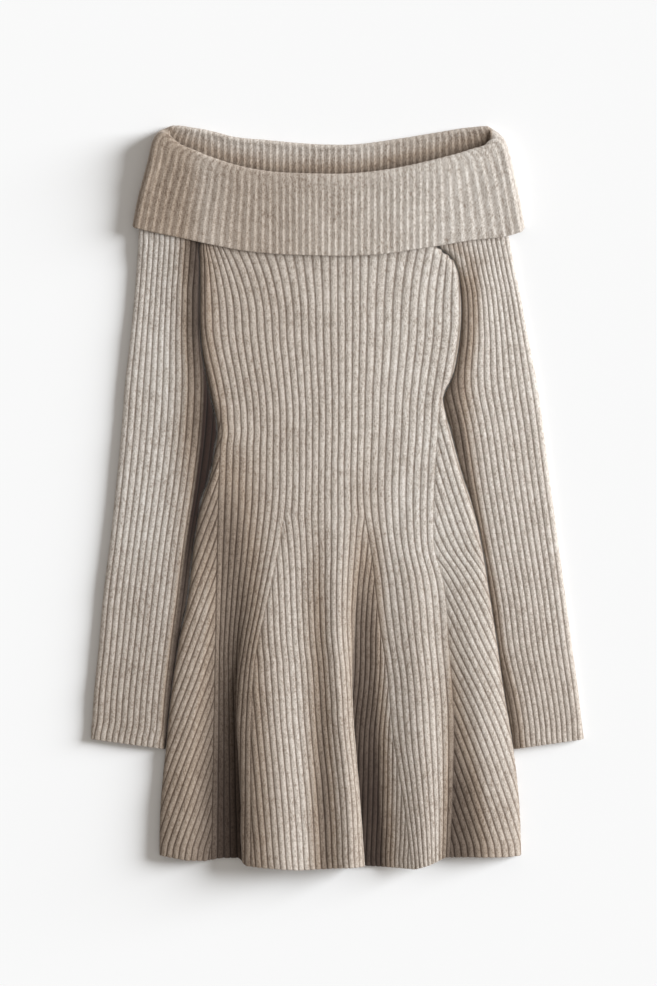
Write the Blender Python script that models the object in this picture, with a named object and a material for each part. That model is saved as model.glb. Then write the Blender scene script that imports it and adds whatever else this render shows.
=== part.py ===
# Off-shoulder dress in rib knit, laid flat on its back.
# Lengths are in millimetres until a mesh is made. X is the wearer's left when seen from above, Y runs
# towards the collar, Z is up, and the origin is on the floor below the middle of the outline.
import bmesh
import bpy
import numpy as np

MM = 0.001
WALL = 2.0  # thickness of the knit between its grooves and its back
RIB = 0.5  # a rib stands this far above the wall's mid outer face, and a groove lies as far below
SEAM = 0.3  # gap between two pieces at a seam
STRAY = 0.6  # the straight runs between rows stray this far from a curved seam
FLOOR = WALL / 2.0  # height of the middle of a wall that lies on the floor
NECKLINE = 316.0  # Y of the seam between collar and body
TURNED_UNDER = 14.0  # width of the front's side that goes round the edge to the side seam
TURNED_POINTS = 3  # control points of that side
OVER_BACK = 1.5 * WALL + 0.5  # lowest middle of the front where it lies on the back
RIB_PITCH = 7.6  # one rib and one groove of the skirt's side gores

# The flap of the collar lies under the body too, so the body rises on to it near the neckline.
FLAP_BACK_EDGE = 288.0
LIFT = 2.5
LIFT_START = 250.0
LIFT_END = 284.0

# Outline of the body. Columns: Y, X of the left edge, X of the right edge.
BODY_OUTLINE = [
    (316, -136.5, 90.0),
    (299, -145.0, 98.0),
    (280, -153.2, 111.0),
    (264, -153.0, 129.5),
    (253, -152.9, 134.3),
    (231, -152.7, 137.6),
    (184, -152.1, 137.6),
    (159, -149.8, 134.3),
    (136, -145.5, 129.3),
    (110, -140.0, 118.5),
    (92, -135.4, 121.5),
    (75, -133.2, 126.5),
    (50, -136.5, 133.0),
    (20, -142.8, 141.0),
    (3, -149.0, 147.0),
    (-47, -158.7, 159.8),
    (-114, -166.5, 171.0),
    (-160, -176.0, 178.0),
    (-217, -184.3, 186.2),
    (-273, -189.8, 195.4),
    (-345, -196.4, 203.1),
    (-412, -197.8, 205.2),
]

# Hem of the front. Columns: X, Y.
HEM = [
    (-198, -396),
    (-168, -402),
    (-146, -403),
    (-128, -400),
    (-104, -401),
    (-74, -410),
    (-41, -412),
    (30, -408),
    (87, -411),
    (103, -407),
    (120, -401),
    (186, -399),
    (205, -397),
]

# Folds of the skirt, from left to right. Each row: name, X at the stations, height of the wall there.
# A tuck lies under the fold whose edge is next to it.
FOLD_STATIONS = [75, -19, -125, -225, -325, -408]
FOLDS = [
    ("left crest", (-121, -139, -146, -157, -163, -165), (6.5, 7.0, 8.5, 11.0, 13.0, 14.0)),
    ("left valley", (-111, -123, -127, -129, -130, -129), (6.5, 6.3, 5.2, 4.2, 3.8, 3.8)),
    ("left tuck", (-99, -108, -110, -108, -100, -94), (6.5, 6.5, 6.0, 5.2, 5.0, 5.0)),
    ("centre left edge", (-83, -92, -100, -110, -106, -104), (6.5, 7.2, 9.5, 13.5, 16.5, 17.5)),
    ("centre left crest", (-58, -68, -76, -72, -66, -63), (6.8, 8.5, 15.0, 22.0, 27.5, 30.0)),
    ("centre dip", (-21, -21, -19, -17, -14, -12), (7.0, 8.5, 13.0, 17.0, 20.0, 22.0)),
    ("centre right crest", (9, 6, 0, 4, 14, 18), (7.0, 9.0, 16.0, 22.0, 26.5, 28.5)),
    ("centre right edge", (26, 19, 13, 16, 24, 30), (6.8, 8.2, 11.5, 14.0, 16.0, 17.0)),
    ("right tuck", (41, 32, 22, 15, 15, 18), (6.6, 7.0, 6.6, 5.6, 5.0, 5.0)),
    ("right valley", (57, 48, 41, 42, 46, 49), (6.5, 6.5, 5.2, 4.2, 3.8, 3.8)),
    ("right crest", (76, 79, 88, 100, 106, 108), (6.6, 7.4, 11.0, 15.5, 19.0, 20.5)),
    ("sharp valley", (94, 106, 119, 128, 130, 124), (6.5, 6.8, 7.5, 9.0, 10.0, 9.5)),
    ("outer crest", (110, 130, 145, 158, 167, 170), (6.5, 7.2, 10.0, 13.0, 15.5, 16.5)),
]
SIDE_ROLL_STATIONS = [316, 75, -125, -412]
SIDE_ROLL_HEIGHT = [6.5, 6.5, 7.5, 9.0]

# Lines where the skirt's new ribs are born. Each row: name, Y, X.
GORE_LINES = {
    "gore 1": [(86, -128.8), (-16, -132.1), (-225, -136.5), (-412, -140.0)],
    "gore 2": [(86, -56.0), (-21, -58.8), (-66, -66.6), (-112, -76.6), (-177, -90.5), (-225, -94.0),
               (-325, -95.0), (-412, -95.0)],
    "gore 3": [(86, 30.6), (-17, 30.6), (-64, 38.4), (-133, 46.6), (-196, 56.6), (-258, 62.2),
               (-315, 71.7), (-352, 77.4), (-412, 84.4)],
    "gore 4": [(86, 113.0), (31, 109.0), (-12, 107.4), (-59, 108.8), (-86, 116.6), (-167, 124.3),
               (-244, 129.9), (-318, 128.8), (-412, 124.3)],
}
SKIRT_TOP = 86.0
BIRTH_STEP = 22.0  # height of skirt for each new rib
BIRTH_ROWS = 22
UNDER_POINTS = 4  # steps from a side seam to the side edge
PLAIN_EVERY = 2  # rows of the skirt's ribs for each row of its plain inside
CENTRE_LEFT_START = 4  # rows of skirt before the centre's first new rib, at its left and right
CENTRE_RIGHT_START = 5
BAND_RIBS = 10  # ribs between gore lines 1 and 2, and between 3 and 4
CENTRE_RIBS = 12
CHEST = 231.0  # above this the right side is cut off along the raglan seam
BODICE_ROWS = [316, 299, 280, 264, 253, 242, 231, 184, 148, 110]

# Sleeves. Columns: Y, X of left outer, left inner, right inner and right outer edge.
SLEEVES = [
    (316, -217.5, -136.5, 90.0, 188.7),
    (299, -220.4, -145.0, 98.0, 190.2),
    (280, -221.3, -153.2, 111.0, 193.0),
    (264, -222.5, -153.0, 129.5, 196.3),
    (253, -223.3, -152.9, 134.3, 198.4),
    (231, -225.0, -152.7, 137.6, 203.0),
    (184, -229.6, -152.1, 137.6, 211.9),
    (124, -236.4, -148.2, 131.0, 223.5),
    (78, -240.0, -149.5, 140.5, 229.8),
    (21, -245.3, -153.0, 149.5, 237.0),
    (-48, -252.8, -163.5, 162.0, 246.2),
    (-114, -260.9, -172.0, 174.8, 255.1),
    (-170, -265.5, -180.5, 182.0, 262.1),
    (-225, -270.6, -188.0, 192.5, 268.8),
    (-278, -273.6, -193.0, 201.5, 274.2),
]
SLEEVE_HEIGHT = 6.0
SLEEVE_CROWN = 0.6
SLEEVE_RIBS = 13
SLEEVE_CLEARANCE = 0.9  # from the body's edge, ribs included
CUFF_RISE = 11.5  # the cuff's outer corner is this much higher up the dress than its inner corner
CUFF_RISE_OVER = 160.0

# Rim of the collar, where it turns down, and the free edge of its flap. Columns: X, Y.
RIM_FRONT = [(-199, 406), (-189, 405), (-184, 399), (-175, 392), (-161, 386), (-141, 378), (-121, 371),
             (-80, 362), (-30, 359), (14, 359), (70, 366), (110, 375), (149, 386), (167, 393), (175, 402),
             (184, 403)]
RIM_BACK = [(-199, 408), (-191, 412), (-156, 410), (-136, 406), (-117, 401), (-80, 396), (-8, 389),
            (14, 389), (70, 398), (110, 405), (149, 411), (168, 412), (184, 408)]
FLAP_EDGE = [(-228, 301), (-213, 297), (-175, 289), (-136, 280), (-107, 276), (-41, 273), (70, 273),
             (110, 278), (149, 286), (194, 292), (208, 297)]
# Side folds of the flap. Columns: Y, X.
FLAP_LEFT = [(407, -199), (397, -203.6), (369, -210.9), (336, -219.8), (312, -225.3), (297, -227.8)]
FLAP_RIGHT = [(409, 178), (395, 184.9), (375, 192.0), (355, 196.5), (330, 202.0), (297, 208.2)]
COLLAR_RIBS = 50  # on the front, and as many on the back
COLLAR_SIDE_RIBS = 2
COLLAR_ROWS = [0.0, 1.8, 3.0, 4.0, 5.0, 6.0, 7.5, 9.0]
COLLAR_FLAP_ROW = 6.0  # from this row on the back lies on the floor, plain

COLOURS = {
    "front": (0.46, 0.39, 0.34),
    "back": (0.42, 0.36, 0.31),
    "sleeve_left": (0.45, 0.38, 0.33),
    "sleeve_right": (0.47, 0.40, 0.35),
    "collar": (0.44, 0.37, 0.32),
}


def smooth_step(value):
    value = np.clip(value, 0.0, 1.0)
    return value * value * (3.0 - 2.0 * value)


def follow(places, values, at):
    """A smooth curve through values at rising places, read at any place."""
    places = np.asarray(places, float)
    values = np.asarray(values, float)
    slopes = np.gradient(values, places)
    at = np.clip(np.asarray(at, float), places[0], places[-1])
    left = np.clip(np.searchsorted(places, at, side="right") - 1, 0, len(places) - 2)
    width = places[left + 1] - places[left]
    t = (at - places[left]) / width
    start = (1 + 2 * t) * (1 - t) ** 2 * values[left] + t * (1 - t) ** 2 * width * slopes[left]
    end = t * t * (3 - 2 * t) * values[left + 1] + t * t * (t - 1) * width * slopes[left + 1]
    return start + end


def column(table, index, at, key=0):
    """One column of a table, as a smooth curve over its key column."""
    rows = sorted(table)
    return follow([row[key] for row in rows], [row[index] for row in rows], at)


def lift(y):
    return LIFT * smooth_step((y - LIFT_START) / (LIFT_END - LIFT_START))


def spline(points, steps):
    """Points along a rounded curve through control points, with so many steps from one to the next."""
    points = np.asarray(points, float)
    ends = np.vstack([2 * points[0] - points[1], points, 2 * points[-1] - points[-2]])
    knots = np.concatenate([[0.0], np.cumsum(np.linalg.norm(np.diff(ends, axis=0), axis=1) ** 0.5)])
    result = []
    for i in range(1, len(ends) - 2):
        t0, t1, t2, t3 = knots[i - 1:i + 3]
        t = np.linspace(t1, t2, steps, endpoint=False)[:, None]
        a1 = (t1 - t) / (t1 - t0) * ends[i - 1] + (t - t0) / (t1 - t0) * ends[i]
        a2 = (t2 - t) / (t2 - t1) * ends[i] + (t - t1) / (t2 - t1) * ends[i + 1]
        a3 = (t3 - t) / (t3 - t2) * ends[i + 1] + (t - t2) / (t3 - t2) * ends[i + 2]
        b1 = (t2 - t) / (t2 - t0) * a1 + (t - t0) / (t2 - t0) * a2
        b2 = (t3 - t) / (t3 - t1) * a2 + (t - t1) / (t3 - t1) * a3
        result.append((t2 - t) / (t2 - t1) * b1 + (t - t1) / (t2 - t1) * b2)
    result.append(points[-1:])
    return np.vstack(result)


class Section:
    """The middle of a wall across the dress, as a curve in X and Z that is read by its length."""

    def __init__(self, controls, rise, steps=12):
        self.steps = steps
        self.points = spline(controls, steps)
        lowest = np.full(len(self.points), OVER_BACK)
        turned_under = TURNED_POINTS * steps
        lowest[:turned_under] = FLOOR
        lowest[-turned_under:] = FLOOR
        self.points[:, 1] = np.maximum(self.points[:, 1], lowest) + rise
        self.length = np.concatenate([[0.0], np.cumsum(np.linalg.norm(np.diff(self.points, axis=0), axis=1))])
        tangent = np.gradient(self.points, axis=0)
        tangent /= np.linalg.norm(tangent, axis=1)[:, None]
        self.normals = np.stack([-tangent[:, 1], tangent[:, 0]], axis=1)

    def at(self, length):
        place = [np.interp(length, self.length, self.points[:, axis]) for axis in (0, 1)]
        normal = [np.interp(length, self.length, self.normals[:, axis]) for axis in (0, 1)]
        return np.stack(place, axis=-1), np.stack(normal, axis=-1)

    def length_at(self, x, first, last):
        """The length at which the curve last reaches x, between two of its control points."""
        part = slice(first * self.steps, last * self.steps + 1)
        reached = np.nonzero(self.points[part, 0] <= x)[0]
        return self.length[part][reached[-1] if len(reached) else 0]


class Wall:
    """Vertices and faces of one closed wall of cloth."""

    def __init__(self):
        self.vertices = []
        self.faces = []

    def row(self, points):
        first = len(self.vertices)
        self.vertices.extend(points)
        return np.arange(first, first + len(points))

    def join(self, row_a, keys_a, row_b, keys_b):
        """Faces between two rows, whose vertices meet where their keys are alike."""
        i = 0
        j = 0
        last_a = len(row_a) - 1
        last_b = len(row_b) - 1
        while i < last_a or j < last_b:
            next_a = keys_a[i + 1] if i < last_a else np.inf
            next_b = keys_b[j + 1] if j < last_b else np.inf
            if abs(next_a - next_b) < 1e-6:
                self.faces.append((row_a[i], row_a[i + 1], row_b[j + 1], row_b[j]))
                i += 1
                j += 1
            elif next_a < next_b:
                self.faces.append((row_a[i], row_a[i + 1], row_b[j]))
                i += 1
            else:
                self.faces.append((row_a[i], row_b[j + 1], row_b[j]))
                j += 1

    def build(self, name, collection):
        mesh = bpy.data.meshes.new(name)
        points = [(x * MM, y * MM, z * MM) for x, y, z in self.vertices]
        mesh.from_pydata(points, [], [tuple(int(v) for v in face) for face in self.faces])
        body = bmesh.new()
        body.from_mesh(mesh)
        bmesh.ops.remove_doubles(body, verts=body.verts, dist=0.00001)
        bmesh.ops.recalc_face_normals(body, faces=body.faces)
        body.to_mesh(mesh)
        body.free()
        mesh.materials.append(cloth(name))
        piece = bpy.data.objects.new(name, mesh)
        collection.objects.link(piece)
        return piece


def cloth(name):
    material = bpy.data.materials.new(name + " rib knit")
    material.use_nodes = True
    shader = material.node_tree.nodes["Principled BSDF"]
    shader.inputs["Base Color"].default_value = (*COLOURS[name], 1.0)
    shader.inputs["Roughness"].default_value = 0.95
    shader.inputs["Metallic"].default_value = 0.0
    return material


def shares(points):
    """How far along a polyline each of its points is, from 0 to 1."""
    steps = np.linalg.norm(np.diff(np.asarray(points, float), axis=0), axis=1)
    total = np.concatenate([[0.0], np.cumsum(steps)])
    return total / total[-1]


def join_borders(wall, row_a, row_b):
    points = wall.vertices
    wall.join(row_a, shares([points[i] for i in row_a]), row_b, shares([points[i] for i in row_b]))


# Front

def front_controls(y):
    """Control points of the front from the left side seam, round both edges, to the right side seam."""
    left = column(BODY_OUTLINE, 1, y)
    right = column(BODY_OUTLINE, 2, y)
    roll = column(list(zip(SIDE_ROLL_STATIONS, SIDE_ROLL_HEIGHT)), 1, y)
    controls = [
        (left + TURNED_UNDER, FLOOR),
        (left + 5.5, FLOOR),
        (left + 1.5, (FLOOR + roll) / 2),
        (left + 5.5, roll),
    ]
    down = [-station for station in FOLD_STATIONS]
    waist_left = column(BODY_OUTLINE, 1, FOLD_STATIONS[0])
    waist_right = column(BODY_OUTLINE, 2, FOLD_STATIONS[0])
    for _, xs, heights in FOLDS:
        if y < FOLD_STATIONS[0]:
            x = follow(down, xs, -y)
        else:
            x = left + (xs[0] - waist_left) / (waist_right - waist_left) * (right - left)
        controls.append((x, follow(down, heights, -y)))
    controls += [
        (right - 5.5, roll),
        (right - 1.5, (FLOOR + roll) / 2),
        (right - 5.5, FLOOR),
        (right - TURNED_UNDER, FLOOR),
    ]
    return np.array(controls)


# Where the gore lines lie among the control points: first and last point of the stretch that holds each.
GORE_STRETCH = {"gore 1": (3, 5), "gore 2": (7, 9), "gore 3": (10, 14), "gore 4": (14, 17)}


def gore_x(name, y):
    line = GORE_LINES[name]
    if y <= SKIRT_TOP:
        return column(line, 1, y)
    top_left = column(BODY_OUTLINE, 1, SKIRT_TOP)
    top_right = column(BODY_OUTLINE, 2, SKIRT_TOP)
    level = min(y, CHEST) if name in ("gore 3", "gore 4") else y
    left = column(BODY_OUTLINE, 1, level)
    right = column(BODY_OUTLINE, 2, level)
    return left + (line[0][1] - top_left) / (top_right - top_left) * (right - left)


def half_ribs(first, last):
    """Keys of crests and grooves between two keys, with the two ends."""
    inner = np.arange(np.ceil(first * 2 + 0.2), np.floor(last * 2 - 0.2) + 1) / 2
    return np.concatenate([[first], inner, [last]])


def relief(keys):
    return -RIB * np.cos(2 * np.pi * np.asarray(keys))


def front_zones(section, y, births):
    """Ribs across the front: for each stretch its keys, one to a rib, and where they lie on the section."""
    edge_left = section.length[(TURNED_POINTS - 1) * section.steps]
    edge_right = section.length[-1 - (TURNED_POINTS - 1) * section.steps]
    lines = {}
    for name, (first, last) in GORE_STRETCH.items():
        lines[name] = section.length_at(gore_x(name, y), first, last)
    under = np.arange(UNDER_POINTS + 1)
    zones = {"left under": (under, under / UNDER_POINTS * edge_left)}
    count = (lines["gore 1"] - edge_left) / RIB_PITCH
    keys = half_ribs(births - count, births)
    zones["left"] = (keys, lines["gore 1"] - (births - keys) * RIB_PITCH)
    keys = half_ribs(0, BAND_RIBS)
    zones["left band"] = (keys, lines["gore 1"] + keys / BAND_RIBS * (lines["gore 2"] - lines["gore 1"]))
    first = -max(births - CENTRE_LEFT_START, 0)
    last = CENTRE_RIBS + max(births - CENTRE_RIGHT_START, 0)
    keys = half_ribs(first, last)
    width = lines["gore 3"] - lines["gore 2"]
    zones["centre"] = (keys, lines["gore 2"] + (keys - first) / (last - first) * width)
    if y >= SKIRT_TOP:
        pitch = (lines["gore 4"] - lines["gore 3"]) / BAND_RIBS
        if y > CHEST:
            pitch = (gore_x("gore 4", CHEST) - gore_x("gore 3", CHEST)) / BAND_RIBS
        keys = half_ribs(0, (edge_right - lines["gore 3"]) / pitch)
        zones["side"] = (keys, lines["gore 3"] + keys * pitch)
    else:
        keys = half_ribs(0, BAND_RIBS)
        zones["right band"] = (keys, lines["gore 3"] + keys / BAND_RIBS * (lines["gore 4"] - lines["gore 3"]))
        count = (edge_right - lines["gore 4"]) / RIB_PITCH
        keys = half_ribs(BAND_RIBS - births, BAND_RIBS - births + count)
        zones["right"] = (keys, lines["gore 4"] + (keys - BAND_RIBS + births) * RIB_PITCH)
    zones["right under"] = (under, edge_right + under / UNDER_POINTS * (section.length[-1] - edge_right))
    return zones


def front_rows():
    """Y and new ribs of each row of the front, from the neckline to the hem."""
    rows = [(y, 0) for y in BODICE_ROWS]
    rows += [(SKIRT_TOP - BIRTH_STEP * step, step) for step in range(BIRTH_ROWS + 1)]
    return rows


def to_hem(x, y):
    """Y of a point of the skirt, whose rows turn from level at the waist to the hem's own line."""
    share = np.clip((SKIRT_TOP - y) / (BIRTH_ROWS * BIRTH_STEP), 0.0, 1.0)
    return y + share * (column(HEM, 1, x) - (SKIRT_TOP - BIRTH_ROWS * BIRTH_STEP))


def make_front(collection):
    wall = Wall()
    outer = []
    plain = []
    zones_of = []
    for y, births in front_rows():
        section = Section(front_controls(y), lift(y))
        zones = front_zones(section, y, births)
        shared = {}
        vertices = []
        for name, (keys, lengths) in zones.items():
            middle, normal = section.at(lengths)
            rise = np.zeros(len(keys)) if "under" in name else relief(keys)
            fade = smooth_step((middle[:, 1] - lift(y) - 1.5) / 2.5)
            offset = WALL / 2 + rise * fade
            points = middle + normal * offset[:, None]
            points = np.stack([points[:, 0], to_hem(points[:, 0], y), points[:, 1]], axis=1)
            if vertices:
                row = np.concatenate([[vertices[-1]], wall.row(points[1:])])
            else:
                row = wall.row(points)
            shared[name] = (row, keys)
            vertices = list(vertices) + list(row[1:] if vertices else row)
        outer.append(vertices)
        zones_of.append(shared)
        if births % PLAIN_EVERY == 0:
            middle, normal = section.at(section.length[::6])
            points = middle - normal * (WALL / 2)
            points = np.stack([points[:, 0], to_hem(points[:, 0], y), points[:, 1]], axis=1)
            plain.append(wall.row(points))
    for above, below in zip(zones_of, zones_of[1:]):
        for name in ("left under", "left", "left band", "centre", "right under"):
            wall.join(*above[name], *below[name])
        if "side" in above and "side" in below:
            wall.join(*above["side"], *below["side"])
        elif "side" in above:
            row, keys = above["side"]
            split = int(np.argmin(np.abs(keys - BAND_RIBS))) + 1
            wall.join(row[:split], keys[:split], *below["right band"])
            wall.join(row[split - 1:], keys[split - 1:], *below["right"])
        else:
            wall.join(*above["right band"], *below["right band"])
            wall.join(*above["right"], *below["right"])
    for above, below in zip(plain, plain[1:]):
        keys = np.arange(len(above))
        wall.join(below, keys, above, keys)
    join_borders(wall, plain[0], outer[0])
    join_borders(wall, outer[-1], plain[-1])
    for side in (0, -1):
        join_borders(wall, [row[side] for row in outer], [row[side] for row in plain])
    return wall.build("front", collection)


# Back

def make_back(collection):
    """One flat panel between the side seams, which rises on to the flap at the neckline."""
    wall = Wall()
    rows = [y for y, _ in front_rows()]
    across = np.linspace(0.0, 1.0, 5)
    faces = {"top": [], "bottom": []}
    inset = TURNED_UNDER + SEAM + STRAY
    for y in rows:
        left = column(BODY_OUTLINE, 1, y) + inset
        right = column(BODY_OUTLINE, 2, y) - inset
        x = left + across * (right - left)
        place = to_hem(x, y)
        for name, height in (("top", WALL), ("bottom", 0.0)):
            z = np.full_like(x, height + lift(y))
            faces[name].append(wall.row(np.stack([x, place, z], axis=1)))
    keys = np.arange(len(across))
    for name, rows_of in faces.items():
        for above, below in zip(rows_of, rows_of[1:]):
            wall.join(above, keys, below, keys)
    for end in (0, -1):
        wall.join(faces["top"][end], keys, faces["bottom"][end], keys)
        keys_down = np.arange(len(rows))
        wall.join([row[end] for row in faces["top"]], keys_down, [row[end] for row in faces["bottom"]], keys_down)
    return wall.build("back", collection)


# Sleeves

def sleeve_section(inner, outer, rise):
    """A flattened tube from the middle of its floor side, out, over the top and back, in X and Z."""
    side = 1.0 if outer > inner else -1.0
    top = SLEEVE_HEIGHT
    width = abs(outer - inner)
    edge = WALL / 2 + RIB
    controls = [(width / 2, FLOOR), (width - 8.0, FLOOR), (width - 4.0, FLOOR), (width - edge, (FLOOR + top) / 2)]
    controls += [(width - 5.0, top), (width * 0.75, top + SLEEVE_CROWN * 0.8), (width / 2, top + SLEEVE_CROWN)]
    controls += [(width * 0.25, top + SLEEVE_CROWN * 0.8), (5.0, top), (edge, (FLOOR + top) / 2)]
    controls += [(4.0, FLOOR), (8.0, FLOOR), (width / 2, FLOOR)]
    points = spline(controls, 10)
    points[:, 1] = np.maximum(points[:, 1], FLOOR) + rise
    points[:, 0] = inner + side * points[:, 0]
    tangent = np.gradient(points, axis=0)
    tangent /= np.linalg.norm(tangent, axis=1)[:, None]
    normal = np.stack([tangent[:, 1], -tangent[:, 0]], axis=1) * side
    normal[-1] = normal[0]
    length = np.concatenate([[0.0], np.cumsum(np.linalg.norm(np.diff(points, axis=0), axis=1))])
    return points, normal, length


def make_sleeve(name, outer_column, inner_column, body_column, collection):
    wall = Wall()
    outer_rows = []
    plain_rows = []
    for row in SLEEVES:
        y = min(row[0], NECKLINE - SEAM)
        outer = row[outer_column]
        side = 1.0 if outer > 0 else -1.0
        body_edge = column(BODY_OUTLINE, body_column, y)
        inner = side * max(side * row[inner_column], side * body_edge + SLEEVE_CLEARANCE)
        points, normal, length = sleeve_section(inner, outer, lift(y))
        total = length[-1]
        edge_out = np.interp(3.0, np.arange(len(points)) / 10.0, length)
        edge_in = np.interp(9.0, np.arange(len(points)) / 10.0, length)
        ribs = np.arange(2 * SLEEVE_RIBS + 1) / 2
        places = edge_out + ribs / SLEEVE_RIBS * (edge_in - edge_out)
        flat_out = np.linspace(0.0, edge_out, 4, endpoint=False)
        flat_in = np.linspace(edge_in, total, 5)[1:-1]
        places = np.concatenate([flat_out, places, flat_in])
        rise = np.concatenate([np.zeros(len(flat_out)), relief(ribs), np.zeros(len(flat_in))])
        progress = smooth_step((SLEEVES[-1][0] + CUFF_RISE_OVER - y) / CUFF_RISE_OVER)

        def ring(at, offset):
            place = np.stack([np.interp(at, length, points[:, axis]) for axis in (0, 1)], axis=1)
            out = np.stack([np.interp(at, length, normal[:, axis]) for axis in (0, 1)], axis=1)
            place = place + out * np.asarray(offset)[:, None]
            share = (place[:, 0] - inner) / (outer - inner)
            return np.stack([place[:, 0], y + CUFF_RISE * share * progress, place[:, 1]], axis=1)

        outer_rows.append(wall.row(ring(places, WALL / 2 + rise)))
        at = np.concatenate([
            np.linspace(0.0, edge_out - 4.0, 3, endpoint=False),
            np.linspace(edge_out - 4.0, edge_out + 6.0, 6, endpoint=False),
            np.linspace(edge_out + 6.0, edge_in - 6.0, 8, endpoint=False),
            np.linspace(edge_in - 6.0, edge_in + 4.0, 6, endpoint=False),
            np.linspace(edge_in + 4.0, total, 3, endpoint=False),
        ])
        plain_rows.append((wall.row(ring(at, np.full(len(at), -WALL / 2))), at / total))
        outer_shares = places / total
    ribbed = np.arange(len(outer_rows[0]) + 1)
    for above, below in zip(outer_rows, outer_rows[1:]):
        wall.join(closed(above), ribbed, closed(below), ribbed)
    plain_keys = np.arange(len(plain_rows[0][0]) + 1)
    for (above, _), (below, _) in zip(plain_rows, plain_rows[1:]):
        wall.join(closed(above), plain_keys, closed(below), plain_keys)
    for end in (0, -1):
        row, at = plain_rows[end]
        wall.join(closed(outer_rows[end]), np.append(outer_shares, 1.0), closed(row), np.append(at, 1.0))
    return wall.build(name, collection)


def closed(row):
    return np.append(row, row[0])


# Collar

def collar_row(ribs, level):
    """One ring of the collar's middle at each of its ten levels: neckline, up inside, rim, down the flap."""
    left_of = [-217.5, -208.0, -201.5, -199.0, -198.4, -199.6, None, None, None, None]
    right_of = [188.7, 184.0, 179.0, 177.5, 177.0, 178.6, None, None, None, None]
    front_height = [9.0, 10.4, 12.6, 14.0, 16.6, 19.0, 19.4, 17.0, 14.2, 12.9]
    back_height = [3.5, 3.7, 5.6, 7.4, 4.5, 1.7, 1.0, 1.0, 1.0, 1.0]
    down_flap = {6: 0.09, 7: 0.35, 8: 0.7, 9: 1.0}

    def front_y(x):
        rim = column(RIM_FRONT, 1, x)
        seam = NECKLINE + SEAM
        if level in down_flap:
            return rim + down_flap[level] * (column(FLAP_EDGE, 1, x) - rim)
        return [seam, (seam + rim) / 2, rim - 9.0, rim - 2.4, rim - 1.2, rim - 2.8][level]

    def back_y(x):
        rim = column(RIM_BACK, 1, x)
        seam = NECKLINE + SEAM
        if level in down_flap:
            return rim + down_flap[level] * (FLAP_BACK_EDGE - rim)
        return [seam, (seam + rim) / 2, rim - 10.0, rim - 3.2, rim - 1.2, rim - 3.2][level]

    if level in down_flap:
        left = column(FLAP_LEFT, 1, front_y(-199.0 - 28.0 * down_flap[level]))
        right = column(FLAP_RIGHT, 1, front_y(178.0 + 30.0 * down_flap[level]))
    else:
        left = left_of[level]
        right = right_of[level]
    top = front_height[level]
    low = back_height[level]
    roll = min((top - low) / 2, 5.0)
    left += WALL / 2 + RIB
    right -= WALL / 2 + RIB
    points = np.zeros((len(ribs), 3))
    half = COLLAR_RIBS + COLLAR_SIDE_RIBS
    for i, rib in enumerate(ribs):
        turn = 0.0
        if rib <= COLLAR_RIBS:
            share = rib / COLLAR_RIBS
            front = 1.0
        elif rib < half:
            turn = (rib - COLLAR_RIBS) / COLLAR_SIDE_RIBS
            share = 1.0
            front = 0.5 + 0.5 * np.cos(np.pi * turn)
        elif rib <= half + COLLAR_RIBS:
            share = 1.0 - (rib - half) / COLLAR_RIBS
            front = 0.0
        else:
            turn = (rib - half - COLLAR_RIBS) / COLLAR_SIDE_RIBS
            share = 0.0
            front = 0.5 - 0.5 * np.cos(np.pi * turn)
        x = left + roll + share * (right - left - 2 * roll)
        y = front * front_y(x) + (1 - front) * back_y(x)
        bulge = roll * np.sin(np.pi * turn)
        x += bulge if share == 1.0 else -bulge
        points[i] = (x, y, low + front * (top - low))
    return points


def make_collar(collection):
    """A ring of two layers: it rises inside from the neckline to the rim and turns down outside as a flap."""
    wall = Wall()
    around = 2 * (COLLAR_RIBS + COLLAR_SIDE_RIBS)
    ribs = np.arange(2 * around) / 2
    levels = np.stack([collar_row(ribs, level) for level in range(10)])
    steps = 10
    fine = np.stack([spline(levels[:, i], steps) for i in range(len(ribs))], axis=1)
    down = np.gradient(fine, axis=0)
    across = np.roll(fine, -1, axis=1) - np.roll(fine, 1, axis=1)
    normal = np.cross(down, across)
    normal /= np.linalg.norm(normal, axis=2)[:, :, None]
    back_start = COLLAR_RIBS + COLLAR_SIDE_RIBS
    on_back = (ribs > back_start) & (ribs < back_start + COLLAR_RIBS)
    ribbed_rows = []
    plain_rows = []
    for level in COLLAR_ROWS:
        index = int(round(level * steps))
        lying = level >= COLLAR_FLAP_ROW
        keep = np.ones(len(ribs), bool)
        rise = relief(ribs + 0.5)
        if lying:
            keep = ~on_back | (np.mod(ribs - back_start, 5) == 0)
            rise = np.where(ribs >= back_start - 1, 0.0, rise)
            rise = np.where(ribs > around - COLLAR_SIDE_RIBS, 0.0, rise)
        points = fine[index] + normal[index] * (WALL / 2 + rise)[:, None]
        points[:, 2] = np.maximum(points[:, 2], 0.0)
        if level == 0:
            points[:, 1] = NECKLINE + SEAM
        ribbed_rows.append((wall.row(points[keep]), ribs[keep]))
        points = fine[index] - normal[index] * (WALL / 2)
        if level == 0:
            points[:, 1] = NECKLINE + SEAM
        keep = np.mod(ribs, 1) == 0
        if lying:
            keep = keep & (~on_back | (np.mod(ribs - back_start, 5) == 0))
        plain_rows.append((wall.row(points[keep]), ribs[keep]))
    for rows in (ribbed_rows, plain_rows):
        for (above, keys_a), (below, keys_b) in zip(rows, rows[1:]):
            wall.join(closed(above), np.append(keys_a, around), closed(below), np.append(keys_b, around))
    for end in (0, -1):
        (above, keys_a), (below, keys_b) = ribbed_rows[end], plain_rows[end]
        wall.join(closed(above), np.append(keys_a, around), closed(below), np.append(keys_b, around))
    return wall.build("collar", collection)


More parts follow.
